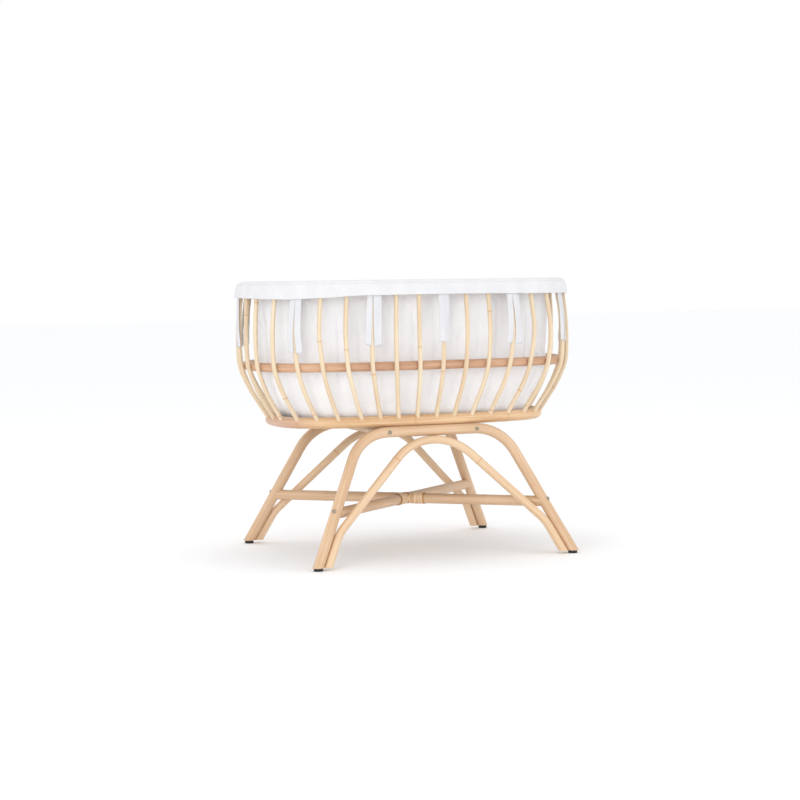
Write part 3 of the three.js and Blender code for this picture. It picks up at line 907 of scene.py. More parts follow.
# ---------- stand ----------
@dataclass
class Stand:
    """Two leaning end frames joined by two rails and two crossing stretchers."""

    leg_radius: float = 14 * MM
    arch_radius: float = 11 * MM
    stretcher_radius: float = 14 * MM
    rail_radius: float = 11 * MM
    foot_x: float = 363.5 * MM
    foot_y: float = 295 * MM
    leg_slope: float = 0.487
    bar_y: float = 188 * MM
    bar_z: float = 336 * MM
    bar_bend: float = 118 * MM
    arch_slope: float = 1.036
    arch_spread: float = 384 * MM
    knee_radius: float = 110 * MM
    cut_z: float = 8 * MM
    pole_start: float = -6 * MM
    stretcher_z: float = 138 * MM
    rail_x: float = 124.5 * MM
    gap: float = 0.3 * MM
    screw_radius: float = 5.5 * MM
    screw_height: float = 3.2 * MM
    lashing_start: float = 11 * MM
    lashing_length: float = 40 * MM
    lashing_thickness: float = 1.6 * MM

    def __post_init__(self) -> None:
        """Works out the end frames' own plane."""
        self.lean = math.atan((self.foot_y - self.bar_y) / self.bar_z)
        self.bar_w = self.bar_z / math.cos(self.lean)
        self.leg_run = self.leg_slope * math.cos(self.lean)
        self.arch_run = self.arch_slope * math.cos(self.lean)

    def on_front(self, spot: Vector) -> Vector:
        """Takes a point of the end frame's plane to its place at the front."""
        return Vector((spot.x, -self.foot_y + spot.y * math.sin(self.lean), spot.y * math.cos(self.lean)))

    def leg_route(self) -> list[Vector]:
        """The route of a leg frame: up one leg, along the bar and down the other leg."""
        foot = self.foot_x - self.leg_run * self.pole_start
        corner = self.foot_x - self.leg_run * self.bar_w
        corners = [(-foot, self.pole_start), (-corner, self.bar_w), (corner, self.bar_w), (foot, self.pole_start)]
        return evenly([self.on_front(p) for p in bent_route(corners, [self.bar_bend, self.bar_bend])])

    def arch_route(self) -> list[Vector]:
        """The route of an inner arch, which touches the leg below its knees and the bar at its top."""
        spacing = self.leg_radius + self.arch_radius + self.gap
        inside = self.foot_x - spacing * math.hypot(1, self.leg_run)
        knee_w = (self.arch_spread - inside) / (self.arch_run - self.leg_run)
        knee_x = inside - self.leg_run * knee_w
        peak_w = self.arch_spread / self.arch_run
        peak_angle = math.atan(1 / self.arch_run)
        top_radius = (peak_w - (self.bar_w - spacing)) / (1 / math.cos(peak_angle) - 1)
        foot = inside - self.leg_run * self.pole_start
        corners = [(-foot, self.pole_start), (-knee_x, knee_w), (0, peak_w), (knee_x, knee_w), (foot, self.pole_start)]
        radii = [self.knee_radius, top_radius, self.knee_radius]
        return evenly([self.on_front(p) for p in bent_route(corners, radii)])

    def bent_pole(
        self, name: str, route: Sequence[Vector], radius: float, marks: Sequence[float]
    ) -> bpy.types.Object:
        """Makes a pole along a route of the front frame and saws its feet off level.

        Args:
            name: the pole's name.
            route: its axis.
            radius: its radius.
            marks: its growth rings, as shares of its length.

        Returns:
            The pole.
        """
        length = route_length(route)
        places = [share * length for share in marks]
        pole = StraightPole(name, radius, length, places, start=3 * radius * 100).build()
        bend(pole, route, False, Axis.FREE)
        bpy.ops.object.mode_set(mode="EDIT")
        bpy.ops.mesh.select_all(action="SELECT")
        bpy.ops.mesh.bisect(plane_co=(0, 0, self.cut_z), plane_no=(0, 0, 1), clear_inner=True, use_fill=True)
        bpy.ops.object.mode_set(mode="OBJECT")
        tidy_faces(pole)
        smooth(pole, 50)
        return pole

    def build(self) -> None:
        """Builds the whole stand."""
        legs = self.bent_pole("front_leg_pole", self.leg_route(), self.leg_radius, (0.17, 0.46, 0.81))
        arches = self.bent_pole("front_arch_pole", self.arch_route(), self.arch_radius, (0.373, 0.645))
        for pole, finish, node in ((legs, LEG_FINISH, "leg_frame"), (arches, ARCH_FINISH, "inner_arch")):
            back = copied(pole, pole.name.replace("front", "back"), half_turned())
            dress(pole, finish, Body.STAND, f"front_{node}")
            dress(back, finish, Body.STAND, f"back_{node}")
        cutter = StraightPole("cutter", self.leg_radius + self.gap, route_length(self.leg_route()), sides=24).build()
        bend(cutter, self.leg_route(), False, Axis.FREE)
        tidy_faces(cutter)
        cutters = [cutter, copied(cutter, "back_cutter", half_turned())]
        self._rails(cutters)
        self._stretchers(cutters)
        for helper in cutters:
            discard(helper)
        self._lashings()
        self._screws()
        self._glides()

    def _between(
        self, name: str, start: Vector, end: Vector, radius: float, marks: Sequence[float]
    ) -> bpy.types.Object:
        """A straight pole from one point to another."""
        run = end - start
        places = [share * run.length for share in marks]
        pole = StraightPole(name, radius, run.length, places, start=start.x + 7 * start.y).build()
        turn = Vector((1, 0, 0)).rotation_difference(run.normalized()).to_matrix().to_4x4()
        pole.matrix_world = Matrix.Translation(start) @ turn
        return settle(pole)

    def _rails(self, cutters: Sequence[bpy.types.Object]) -> None:
        """Builds the two rails, with their ends hollowed to fit the bars."""
        for name, x, marks in (("left", -self.rail_x, (0.3, 0.71)), ("right", self.rail_x, (0.22, 0.6))):
            start, end = Vector((x, -self.bar_y, self.bar_z)), Vector((x, self.bar_y, self.bar_z))
            rail = self._between(f"{name}_rail_pole", start, end, self.rail_radius, marks)
            carve(rail, *cutters)
            smooth(rail)
            dress(rail, LEG_FINISH, Body.STAND, f"{name}_cross_rail")

    def _stretcher_end(self) -> Point2:
        """Where a stretcher meets the leg's axis, right of and behind the middle."""
        x = self.foot_x - self.leg_slope * self.stretcher_z
        return x, self.foot_y - math.tan(self.lean) * self.stretcher_z

    def _stretchers(self, cutters: Sequence[bpy.types.Object]) -> None:
        """Builds the two stretchers, halved into each other where they cross."""
        x, y = self._stretcher_end()
        angle = math.atan2(y, x)
        for name, side, marks in (("upper", -1, (0.2, 0.452, 0.79)), ("lower", 1, (0.14, 0.37, 0.7))):
            start, end = Vector((-x, -side * y, self.stretcher_z)), Vector((x, side * y, self.stretcher_z))
            pole = self._between(f"{name}_stretcher_pole", start, end, self.stretcher_radius, marks)
            reach, width = 6 * self.stretcher_radius, 2 * (self.stretcher_radius + self.gap)
            bpy.ops.mesh.primitive_cube_add(
                size=1,
                location=(0, 0, self.stretcher_z + side * (reach - self.gap) / 2),
                rotation=(0, 0, -side * angle),
                scale=(reach, width, reach),
            )
            block = settle(named("lap_block"))
            carve(pole, *cutters, block)
            discard(block)
            smooth(pole)
            dress(pole, LEG_FINISH, Body.STAND, f"{name}_stretcher")

    def _peel_turn(self, name: str, radius: float, width: float, thickness: float) -> bpy.types.Object:
        """One flattened turn of peel round the X axis."""
        bpy.ops.object.select_all(action="DESELECT")
        bpy.ops.mesh.primitive_torus_add(
            major_segments=36,
            minor_segments=8,
            major_radius=radius,
            minor_radius=thickness / 2,
            rotation=(0, math.pi / 2, 0),
        )
        turn = settle(named(name))
        bpy.ops.object.mode_set(mode="EDIT")
        bpy.ops.mesh.select_all(action="SELECT")
        bpy.ops.transform.resize(value=(width / thickness, 1, 1), center_override=(0, 0, 0))
        bpy.ops.object.mode_set(mode="OBJECT")
        return turn

    def _lashings(self) -> None:
        """Builds the peel wrapped round the two front arms of the crossing, and the turns over its middle."""
        x, y = self._stretcher_end()
        angle = math.atan2(y, x)
        pitch = 3.4 * MM
        inner = self.stretcher_radius + self.gap
        count = round(self.lashing_length / pitch)
        for name, turn_to in (("right", -angle), ("left", math.pi + angle)):
            turns = []
            for i in range(count):
                turn = self._peel_turn("turn", inner + 0.45 * self.lashing_thickness, 1.06 * pitch, 1.3 * MM)
                tilt = Matrix.Rotation(math.radians(5), 4, "Z")
                grow = Matrix.Scale(1 + 0.006 * ((i * 7) % 3 - 1), 4)
                turn.matrix_world = Matrix.Translation((self.lashing_start + (i + 0.5) * pitch, 0, 0)) @ tilt @ grow
                turns.append(settle(turn))
            sleeve = joined(f"{name}_lashing_peel", turns)
            self._place_on_arm(sleeve, turn_to)
            dress(sleeve, PEEL_FINISH, Body.STAND, f"{name}_lashing")
            last = self._peel_turn(f"{name}_lashing_end", inner + 0.9 * MM, 4.6 * MM, 2.0 * MM)
            last.matrix_world = Matrix.Translation((self.lashing_start + self.lashing_length + 1.2 * MM, 0, 0))
            settle(last)
            self._place_on_arm(last, turn_to)
            dress(last, KNOT_FINISH, Body.STAND)
        self._crossing_turns(angle, inner)

    def _place_on_arm(self, piece: bpy.types.Object, turn_to: float) -> None:
        """Takes a piece made along +X to an arm of the crossing."""
        self._keep_grain(piece)
        piece.matrix_world = Matrix.Translation((0, 0, self.stretcher_z)) @ Matrix.Rotation(turn_to, 4, "Z")
        settle(piece)
        smooth(piece, 60)

    @staticmethod
    def _keep_grain(piece: bpy.types.Object) -> None:
        """Records each corner's place as it is now."""
        mesh = piece.data
        corners = np.zeros(len(mesh.loops), dtype=np.int32)
        mesh.loops.foreach_get("vertex_index", corners)
        places = np.zeros(3 * len(mesh.vertices))
        mesh.vertices.foreach_get("co", places)
        grain = mesh.attributes.new("grain", "FLOAT_VECTOR", "CORNER")
        grain.data.foreach_set("vector", places.reshape(-1, 3)[corners].astype(np.float32).ravel())

    def _crossing_turns(self, angle: float, inner: float) -> None:
        """Builds three turns of peel that go over the crossing and under it."""
        turns = []
        for i, (shift, lean) in enumerate(((-5.0, 6), (-1.2, 9), (2.8, 4))):
            turn = self._peel_turn("turn", inner + 0.8 * MM, 3.8 * MM, 1.4 * MM)
            wide = 1 / math.cos(angle) + 0.2 * abs(shift + 1) / 14
            turn.matrix_world = (
                Matrix.Translation((shift * MM, 0, self.stretcher_z))
                @ Matrix.Rotation(math.radians(lean), 4, "Z")
                @ Matrix.Diagonal((1, wide + 0.01 * i, 1, 1))
            )
            turns.append(settle(turn))
        binding = joined("crossing_peel", turns)
        self._keep_grain(binding)
        smooth(binding, 60)
        dress(binding, KNOT_FINISH, Body.STAND)

    def _screw(self, name: str) -> bpy.types.Object:
        """A dished screw head with a six-sided socket, facing +Z, its underside at the origin."""
        bpy.ops.object.select_all(action="DESELECT")
        bpy.ops.mesh.primitive_cylinder_add(
            vertices=32,
            radius=self.screw_radius,
            depth=self.screw_height + 2 * MM,
            location=(0, 0, (self.screw_height - 2 * MM) / 2),
        )
        screw = settle(named(name))
        bpy.ops.object.mode_set(mode="EDIT")
        self._select_faces(screw, lambda c, n: n.z > 0.9)
        bpy.ops.mesh.bevel(offset=1.1 * MM, segments=4, affect="EDGES")
        bpy.ops.object.mode_set(mode="OBJECT")
        bpy.ops.object.select_all(action="DESELECT")
        bpy.ops.mesh.primitive_cylinder_add(
            vertices=6, radius=2.5 * MM, depth=4 * MM, location=(0, 0, self.screw_height + 0.2 * MM)
        )
        key = settle(named("socket_cutter"))
        carve(screw, key)
        discard(key)
        smooth(screw, 30)
        return screw

    @staticmethod
    def _select_faces(piece: bpy.types.Object, wanted: Callable[[Vector, Vector], bool]) -> None:
        """Selects, in edit mode, the faces whose centre and normal are wanted."""
        bpy.ops.mesh.select_mode(type="FACE")
        bpy.ops.mesh.select_all(action="DESELECT")
        bpy.ops.object.mode_set(mode="OBJECT")
        for face in piece.data.polygons:
            face.select = wanted(face.center, face.normal)
        bpy.ops.object.mode_set(mode="EDIT")

    def _screws(self) -> None:
        """Places the bar screws and the screws that hold the stretchers to the legs."""
        screw = self._screw("screw_pattern")
        seat = math.sqrt(self.leg_radius**2 - self.screw_radius**2)
        face_front = Matrix.Rotation(math.pi / 2, 4, "X")
        x, y = self._stretcher_end()
        out = Vector((0.669, -0.743, 0)).normalized()
        up_leg = 7 * MM
        axis = Vector((x - self.leg_slope * up_leg, -y + math.tan(self.lean) * up_leg, self.stretcher_z + up_leg))
        leg_side = axis + out * (seat + 2.0 * MM)
        for end, turn in (("front", Matrix.Identity(4)), ("back", half_turned())):
            for direction in (-1, 1):
                side = "left" if (direction < 0) == (end == "front") else "right"
                place = Matrix.Translation((direction * self.rail_x, -self.bar_y - seat, self.bar_z))
                bolt = copied(screw, f"{end}_{side}_bar_bolt", turn @ place @ face_front)
                dress(bolt, STEEL_FINISH, Body.STAND, f"{end}_{side}_bar_screw")
                spot = Vector((direction * leg_side.x, leg_side.y, leg_side.z))
                way = Vector((direction * out.x, out.y, 0))
                facing = Vector((0, 0, 1)).rotation_difference(way).to_matrix().to_4x4()
                bolt = copied(screw, f"{end}_{side}_leg_bolt", turn @ Matrix.Translation(spot) @ facing)
                dress(bolt, STEEL_FINISH, Body.STAND)
        discard(screw)

    def _glides(self) -> None:
        """Builds one black foot glide and puts a copy under each leg."""
        height = self.cut_z - self.gap
        bpy.ops.object.select_all(action="DESELECT")
        bpy.ops.mesh.primitive_cylinder_add(vertices=40, radius=12 * MM, depth=height, location=(0, 0, height / 2))
        glide = settle(named("glide_pattern"))
        bpy.ops.object.mode_set(mode="EDIT")
        self._select_faces(glide, lambda c, n: abs(n.z) > 0.9)
        bpy.ops.mesh.inset(thickness=1.2 * MM)
        self._select_faces(glide, lambda c, n: n.z < -0.9 and c.xy.length < 2 * MM)
        bpy.ops.mesh.inset(thickness=3 * MM)
        bpy.ops.mesh.extrude_region_move(TRANSFORM_OT_translate={"value": (0, 0, 1 * MM)})
        bpy.ops.object.mode_set(mode="OBJECT")
        applied(glide, "BEVEL", width=0.9 * MM, segments=3, limit_method="ANGLE", angle_limit=math.radians(40))
        tidy_faces(glide)
        smooth(glide, 35)
        x = self.foot_x - self.leg_slope * self.cut_z
        y = self.foot_y - math.tan(self.lean) * self.cut_z
        for end, turn in (("front", Matrix.Identity(4)), ("back", half_turned())):
            for direction in (-1, 1):
                side = "left" if (direction < 0) == (end == "front") else "right"
                foot = copied(glide, f"{end}_{side}_foot_glide", turn @ Matrix.Translation((direction * x, -y, 0)))
                dress(foot, PLASTIC_FINISH, Body.STAND, f"{end}_{side}_glide")
        discard(glide)


# ---------- basket ----------
@dataclass
class Basket:
    """The upright canes, the three rings that they stand on or round, and the floor board."""

    cane_count: int = 36
    cane_shift: float = 0.23
    cane_radius: float = 6 * MM
    base_radius: float = 15 * MM
    mid_radius: float = 12 * MM
    rim_radius: float = 11 * MM
    gap: float = 0.3 * MM
    nudge_height: float = 0.09
    foot_outset: float = 4 * MM
    foot_cut: float = 0.15
    board_thickness: float = 6 * MM
    nudges: tuple[Point2, ...] = (
        (0, 0),
        (-0.05, -0.1),
        (-0.03, 0),
        (-0.1, 0),
        (-0.12, 0.05),
        (-0.08, 0.2),
        (-0.02, 0.14),
        (-0.03, 0.07),
        (-0.05, 0.05),
        (0, 0.05),
        (0.03, 0),
        (0.05, -0.03),
        (0.14, -0.02),
        (0.2, 0.06),
        (0.15, 0.12),
        (0.08, 0.06),
        (0.03, 0),
        (0, 0),
    )
    mark_sets: tuple[tuple[float, ...], ...] = (
        (0.79,),
        (0.55,),
        (0.2,),
        (),
        (0.61,),
        (0.04, 0.88),
        (0.37,),
        (0.06,),
    )

    def fraction(self, index: int, height: float) -> float:
        """Where a cane is round the basket at a height."""
        upper, foot = self.nudges[index % len(self.nudges)]
        above = min(1.0, max(0.0, (height - MID_Z) / self.nudge_height))
        below = max(0.0, (MID_Z - height) / (MID_Z - BASE_Z))
        return (index + self.cane_shift + upper * above + foot * below) / self.cane_count

    def cane_route(self, index: int) -> list[Vector]:
        """The route of one cane's axis, from its foot to its top."""
        knots = []
        for level, (height, *_) in enumerate(SHAPE.levels):
            oval = SHAPE.oval(height, -self.foot_outset if level == 0 else 0.0)
            x, y = oval.points(np.array(self.fraction(index, height)))
            knots.append(Vector((float(x), float(y), height)))
        knots[0] = knots[0].lerp(knots[1], self.foot_cut)
        return self._flowing(knots)

    @staticmethod
    def _flowing(knots: Sequence[Vector]) -> list[Vector]:
        """A smooth route through knots, at an even spacing."""
        padded = [2 * knots[0] - knots[1], *knots, 2 * knots[-1] - knots[-2]]
        points = []
        for a, b, c, d in zip(padded, padded[1:], padded[2:], padded[3:]):
            for i in range(8):
                t = i / 8
                points.append(
                    0.5 * (2 * b + (c - a) * t + (2 * a - 5 * b + 4 * c - d) * t**2 + (3 * b - a - 3 * c + d) * t**3)
                )
        return evenly([*points, knots[-1]])

    def build(self) -> None:
        """Builds the whole basket apart from its fabric."""
        rings = (
            ("base_hoop", BASE_Z, 0.0, self.base_radius, RING_FINISH, "base_ring"),
            (
                "mid_hoop", MID_Z, self.cane_radius + self.mid_radius + self.gap,
                self.mid_radius, DARK_FINISH, "mid_ring",
            ),
            (
                "rim_hoop", RIM_Z, self.cane_radius + self.rim_radius + self.gap,
                self.rim_radius, DARK_FINISH, "rim_ring",
            ),
        )
        for name, height, inset, radius, finish, node in rings:
            dress(self.hoop(name, height, inset, radius), finish, Body.BASKET, node)
        self._canes()
        self._board()

    @staticmethod
    def hoop(name: str, height: float, inset: float, radius: float, marked: bool = True) -> bpy.types.Object:
        """A pole bent to the basket's oval and closed on itself.

        Args:
            name: the hoop's name.
            height: the height of its axis.
            inset: how far its axis is inside the canes' axes.
            radius: its radius.
            marked: whether it has growth rings.

        Returns:
            The hoop.
        """
        route = SHAPE.ring_route(height, inset)
        length = route_length(route, True)
        marks = [length * share for share in (0.12, 0.31, 0.475, 0.62, 0.83)] if marked else []
        pole = StraightPole(name, radius, length, marks, closed=True, start=10 * height, spacing=7 * MM)
        hoop = bend(pole.build(), route, True, Axis.UPRIGHT)
        smooth(hoop, 60)
        return hoop

    def _canes(self) -> None:
        """Makes a few straight canes and bends a copy of one of them along each cane's route."""
        length = route_length(self.cane_route(9))
        stocks = []
        for i, marks in enumerate(self.mark_sets):
            places = [share * length for share in marks]
            stock = StraightPole(f"cane_stock_{i}", self.cane_radius, length, places, 14, 10 * MM, start=2.0 * i)
            stocks.append(stock.build())
        chance = random.Random(11)
        for index in range(self.cane_count):
            number = f"{index + 1:02d}"
            route = self.cane_route(index)
            cane = copied(stocks[(index * 5 + index // 8) % len(stocks)], f"upright_cane_{number}")
            stretch = route_length(route) / length
            spin = Matrix.Rotation(chance.uniform(0, 2 * math.pi), 4, "X")
            cane.matrix_world = Matrix.Diagonal((stretch, 1, 1, 1)) @ spin
            settle(cane)
            bend(cane, route, False, Axis.FREE)
            smooth(cane, 50)
            dress(cane, CANE_FINISH, Body.BASKET, f"cane_{number}")
        for stock in stocks:
            discard(stock)

    def _board(self) -> None:
        """Builds the thin floor board inside the base ring."""
        inset = self.base_radius + 1.5 * MM
        top = BASE_Z + self.board_thickness / 2
        shares = np.arange(240) / 240
        rows = []
        for height, extra in ((-6.0, 1.4), (-5.4, 0.3), (-4.5, 0.0), (-1.5, 0.0), (-0.6, 0.3), (0.0, 1.4)):
            spots = SHAPE.oval(BASE_Z, inset + extra * MM).points(shares)
            rows.append(np.column_stack([spots, np.full(len(spots), top + height * MM)]))
        across = np.linspace(0, 2, 241)
        board = cloth_mesh("bottom_board", rows, across, along_lengths(rows), True)
        only(board)
        bpy.ops.object.mode_set(mode="EDIT")
        bpy.ops.mesh.select_mode(type="EDGE")
        bpy.ops.mesh.select_all(action="DESELECT")
        bpy.ops.mesh.select_non_manifold()
        bpy.ops.mesh.edge_face_add()
        bpy.ops.object.mode_set(mode="OBJECT")
        tidy_faces(board)
        smooth(board, 50)
        dress(board, BOARD_FINISH, Body.BASKET, "floor_board")


# ---------- liner ----------
@dataclass
class Liner:
    """A gathered cotton bag inside the basket, a hem turned down over the cane tops, and its ties."""

    basket: Basket
    floor_z: float = 369.4 * MM
    columns: int = 720
    cloth: float = 0.9 * MM
    hem_bottom: float = 691 * MM
    wall_levels: tuple[Point2, ...] = (
        (0.3696, 0.0375),
        (0.375, 0.0352),
        (0.392, 0.0350),
        (0.500, 0.0500),
        (0.540, 0.0550),
        (0.628, 0.0480),
        (0.713, 0.0318),
    )
    hem_section: tuple[Point2, ...] = (
        (0.0364, 0.6990),
        (0.0358, 0.7090),
        (0.0335, 0.7180),
        (0.0305, 0.7255),
        (0.0250, 0.7308),
        (0.0180, 0.7332),
        (0.0110, 0.7342),
        (0.0040, 0.7338),
        (-0.0030, 0.7318),
        (-0.0080, 0.7280),
        (-0.0110, 0.7225),
        (-0.0122, 0.7160),
        (-0.0126, 0.7090),
        (-0.0127, 0.7020),
        (-0.0124, 0.6965),
        (-0.0118, 0.6915),
    )
    hem_droop: tuple[Point2, ...] = (
        (0.0, -1.0),
        (0.035, -2.5),
        (0.08, -5.0),
        (0.125, -1.5),
        (0.16, 3.0),
        (0.22, 4.0),
        (0.3, 3.6),
        (0.37, 1.5),
        (0.43, 0.8),
        (0.47, -1.5),
        (0.5, -1.0),
    )
    side_sag: float = 12.5 * MM
    tied_canes: tuple[int, ...] = (35, 3, 6, 9, 12, 15, 17, 21, 24, 27, 30, 33)
    tie_cuts: dict[int, tuple[float, float, float, float]] = field(
        default_factory=lambda: {
            35: (17, 15, 3.0, 143),
            3: (15, 16, 3.0, 155),
            6: (15, 23, 3.4, 139),
            9: (15, 15, -1.5, 135),
            12: (16, 22, 5.0, 144),
            15: (15, 15, 3.0, 142),
        }
    )
    tie_width: float = 18 * MM
    tie_length: float = 300 * MM

    def build(self) -> None:
        """Builds every piece of the liner."""
        wall = self._wall()
        floor = self._floor()
        hem = self._hem()
        ties = self._ties()

    @staticmethod
    def _folds(shares: np.ndarray, height: float, chance: random.Random) -> np.ndarray:
        """How far the gathered wall stands in from its smooth shape, in metres."""
        total = np.zeros(len(shares))
        rise = (height - 0.37) / 0.36
        for count, size, sharp in ((9, 3.2, 1.0), (14, 2.8, 1.0), (22, 5.0, 2.2), (36, 7.5, 2.8)):
            start, drift = chance.uniform(0, 2 * math.pi), chance.uniform(-1.2, 1.2)
            wander = chance.uniform(0, 2 * math.pi)
            angle = 2 * np.pi * count * shares + start + drift * rise
            angle = angle + 1.1 * np.sin(2 * np.pi * 5 * shares + wander) + 0.5 * np.sin(7 * rise + wander)
            depth = 0.65 + 0.35 * np.sin(2 * np.pi * 7 * shares + 2 * wander + 2.5 * rise)
            total += size * depth * ((1 - np.abs(np.sin(angle / 2))) ** sharp - 0.25)
        foot = min(1.0, max(0.0, (height - 0.372) / 0.07))
        tucked = min(1.0, max(0.0, (height - 0.62) / 0.075))
        middle = foot * (1 - 0.97 * tucked)
        start = chance.uniform(0, 2 * math.pi)
        gathers = np.sin(2 * np.pi * 118 * shares + start) * (0.6 + 0.4 * np.sin(2 * np.pi * 13 * shares))
        near_hem = max(0.0, (height - 0.6) / 0.12) ** 1.5
        return (total * middle + 0.8 * gathers * near_hem) * MM

    def _wall(self) -> bpy.types.Object:
        """Builds the bag's gathered wall."""
        shares = np.arange(self.columns) / self.columns
        heights = [z for z, _ in self.wall_levels]
        insets = [inset for _, inset in self.wall_levels]
        rows = []
        for height in [0.3696, 0.3715, 0.375, *np.linspace(0.382, 0.713, 34)]:
            inset = float(np.interp(height, heights, insets))
            oval = SHAPE.oval(height, inset)
            inward = self._folds(shares, height, random.Random(5))
            bead = 0.9 * MM * math.exp(-(((height - 0.392) / (4 * MM)) ** 2))
            outward = oval.outward(shares)
            sag = self.side_sag * math.exp(-(((height - 0.377) / 0.022) ** 2)) * outward[:, 1] ** 2
            spots = oval.points(shares) - outward * (inward - bead - sag)[:, None]
            rows.append(np.column_stack([spots, np.full(len(spots), height)]))
        across = np.linspace(0, 2.15, self.columns + 1)
        wall = cloth_mesh("liner_wall", rows, across, along_lengths(rows), True)
        tidy_faces(wall, 1e-6)
        applied(wall, "SOLIDIFY", thickness=self.cloth, offset=-1.0)
        wall.data.shade_smooth()
        return dress(wall, LINER_FINISH, Body.BASKET, "liner")

    def _floor(self) -> bpy.types.Object:
        """Builds the bag's floor, which lies on the board."""
        shares = np.arange(240) / 240
        rows = []
        for inset in (0.0385, 0.046, 0.06, 0.08, 0.105, 0.135):
            oval = SHAPE.oval(self.floor_z, inset)
            spots = oval.points(shares)
            ripple = 0.25 * MM * np.sin(2 * np.pi * 31 * shares) * (0.06 - min(inset, 0.06)) / 0.02
            rows.append(np.column_stack([spots, self.floor_z - 0.9 * MM + ripple]))
        across = np.linspace(0, 2.0, 241)
        centre = Vector((0, 0, self.floor_z - 0.9 * MM))
        floor = cloth_mesh("liner_floor", rows, across, along_lengths(rows), True, centre)
        only(floor)
        bpy.ops.object.mode_set(mode="EDIT")
        bpy.ops.mesh.select_all(action="SELECT")
        bpy.ops.mesh.normals_make_consistent(inside=False)
        bpy.ops.object.mode_set(mode="OBJECT")
        applied(floor, "SOLIDIFY", thickness=self.cloth, offset=0.0)
        floor.data.shade_smooth()
        return dress(floor, LINER_FINISH, Body.BASKET)

    def droop(self, shares: np.ndarray) -> np.ndarray:
        """How far the hem's bottom edge is above its mean height, round the basket."""
        half = np.mod(shares, 0.5)
        places = [place for place, _ in self.hem_droop]
        lifts = [lift for _, lift in self.hem_droop]
        return np.interp(half, places, lifts) * MM

    def _hem(self) -> bpy.types.Object:
        """Builds the hem band that is turned down over the cane tops."""
        shares = np.arange(self.columns) / self.columns
        lift = self.droop(shares)
        count = len(self.hem_section)
        chance = random.Random(3)
        starts = [chance.uniform(0, 2 * math.pi) for _ in range(6)]
        rows = []
        for i in range(2 * count - 1):
            place = i / 2
            inset = float(np.interp(place, range(count), [s[0] for s in self.hem_section]))
            height = float(np.interp(place, range(count), [s[1] for s in self.hem_section]))
            outside = min(1.0, max(0.0, (place - 8) / 4))
            puckers = sum(
                size * np.sin(2 * np.pi * waves * shares + start + 0.35 * place)
                for waves, size, start in zip((17, 29, 46, 71, 109, 157), (0.9, 0.8, 0.6, 0.4, 0.3, 0.25), starts)
            )
            ends = 0.55 + 0.9 * np.exp(-((np.mod(shares + 0.25, 0.5) - 0.25) / 0.07) ** 2)
            crease = 1.0 * math.exp(-(((height - 0.7175) / (2.2 * MM)) ** 2)) * outside
            oval = SHAPE.oval(min(height, 0.724), inset)
            push = (puckers * ends * (0.12 + 0.88 * outside) - crease) * MM
            fallen = lift * outside * max(0.0, (0.722 - height) / (0.722 - self.hem_bottom))
            spots = oval.points(shares) + oval.outward(shares) * push[:, None]
            rows.append(np.column_stack([spots, height + fallen]))
        across = np.linspace(0, 2.25, self.columns + 1)
        hem = cloth_mesh("liner_hem_band", rows, across, along_lengths(rows), True)
        tidy_faces(hem, 1e-6)
        applied(hem, "SOLIDIFY", thickness=1.8 * MM, offset=-1.0)
        applied(hem, "BEVEL", width=0.6 * MM, segments=2, limit_method="ANGLE", angle_limit=math.radians(60))
        hem.data.shade_smooth()
        return dress(hem, HEM_FINISH, Body.BASKET)

    def _ties(self) -> list[bpy.types.Object]:
        """Builds one tape over each tied cane, folded in half so that its two tails hang down."""
        chance = random.Random(21)
        ties = []
        for number, index in enumerate(self.tied_canes, start=1):
            tails = [self._tail(f"tail_{number}_{side}", index, side, chance) for side in (-1, 1)]
            tie = joined(f"liner_tie_{number:02d}", tails)
            tidy_faces(tie, 1e-6)
            applied(tie, "SOLIDIFY", thickness=0.8 * MM, offset=0.0)
            tie.data.shade_smooth()
            ties.append(dress(tie, TIE_FINISH, Body.BASKET))
        return ties

    def _tail(self, name: str, index: int, side: int, chance: random.Random) -> bpy.types.Object:
        """One hanging tail of a tie.

        Args:
            name: the tail's name.
            index: the cane that it hangs on.
            side: -1 for the tail towards the cane before, 1 for the other.
            chance: the source of the small differences between tails.

        Returns:
            The tail, a flat strip that lies over the cane's edge.
        """
        width = self.tie_width * chance.uniform(0.88, 1.22)
        length = self.tie_length / 2 * chance.uniform(0.93, 1.0)
        slant = chance.uniform(-0.05, 0.05)
        start_z = self.hem_bottom + 14 * MM
        part_from, part_to = chance.uniform(-1.2, 0.4) * MM, chance.uniform(2.6, 4.6) * MM
        if index in self.tie_cuts:
            left, right, parted, long = (value * MM for value in self.tie_cuts[index])
            width, part_to, length = left if side < 0 else right, parted, long + side * 1.2 * MM
        ripple, phase = chance.uniform(0.5, 1.4) * MM, chance.uniform(0, 6)
        steps, cuts = 26, 8
        rows = []
        for i in range(steps + 1):
            down = i / steps
            row = []
            for c in range(cuts + 1):
                away = c / cuts
                drop = length * down + slant * width * (away - 0.5) * down * 4
                height = start_z - drop
                offset = side * (part_from + (part_to - part_from) * down + width * away)
                round_cane = max(0.0, abs(offset) - 2 * MM)
                wave = ripple * math.sin(phase + 9 * down + 2.2 * away) * down * (0.3 + 0.7 * away)
                wrap = min(5 * MM, 0.26 * round_cane) * min(1.0, 0.2 + down)
                stand = self.basket.cane_radius + 1.3 * MM - wrap + wave
                row.append(self._beside(index, height, offset, stand))
            rows.append(np.array(row))
        across = np.linspace(0, width, cuts + 1)
        return cloth_mesh(name, rows, across, along_lengths(rows), False)

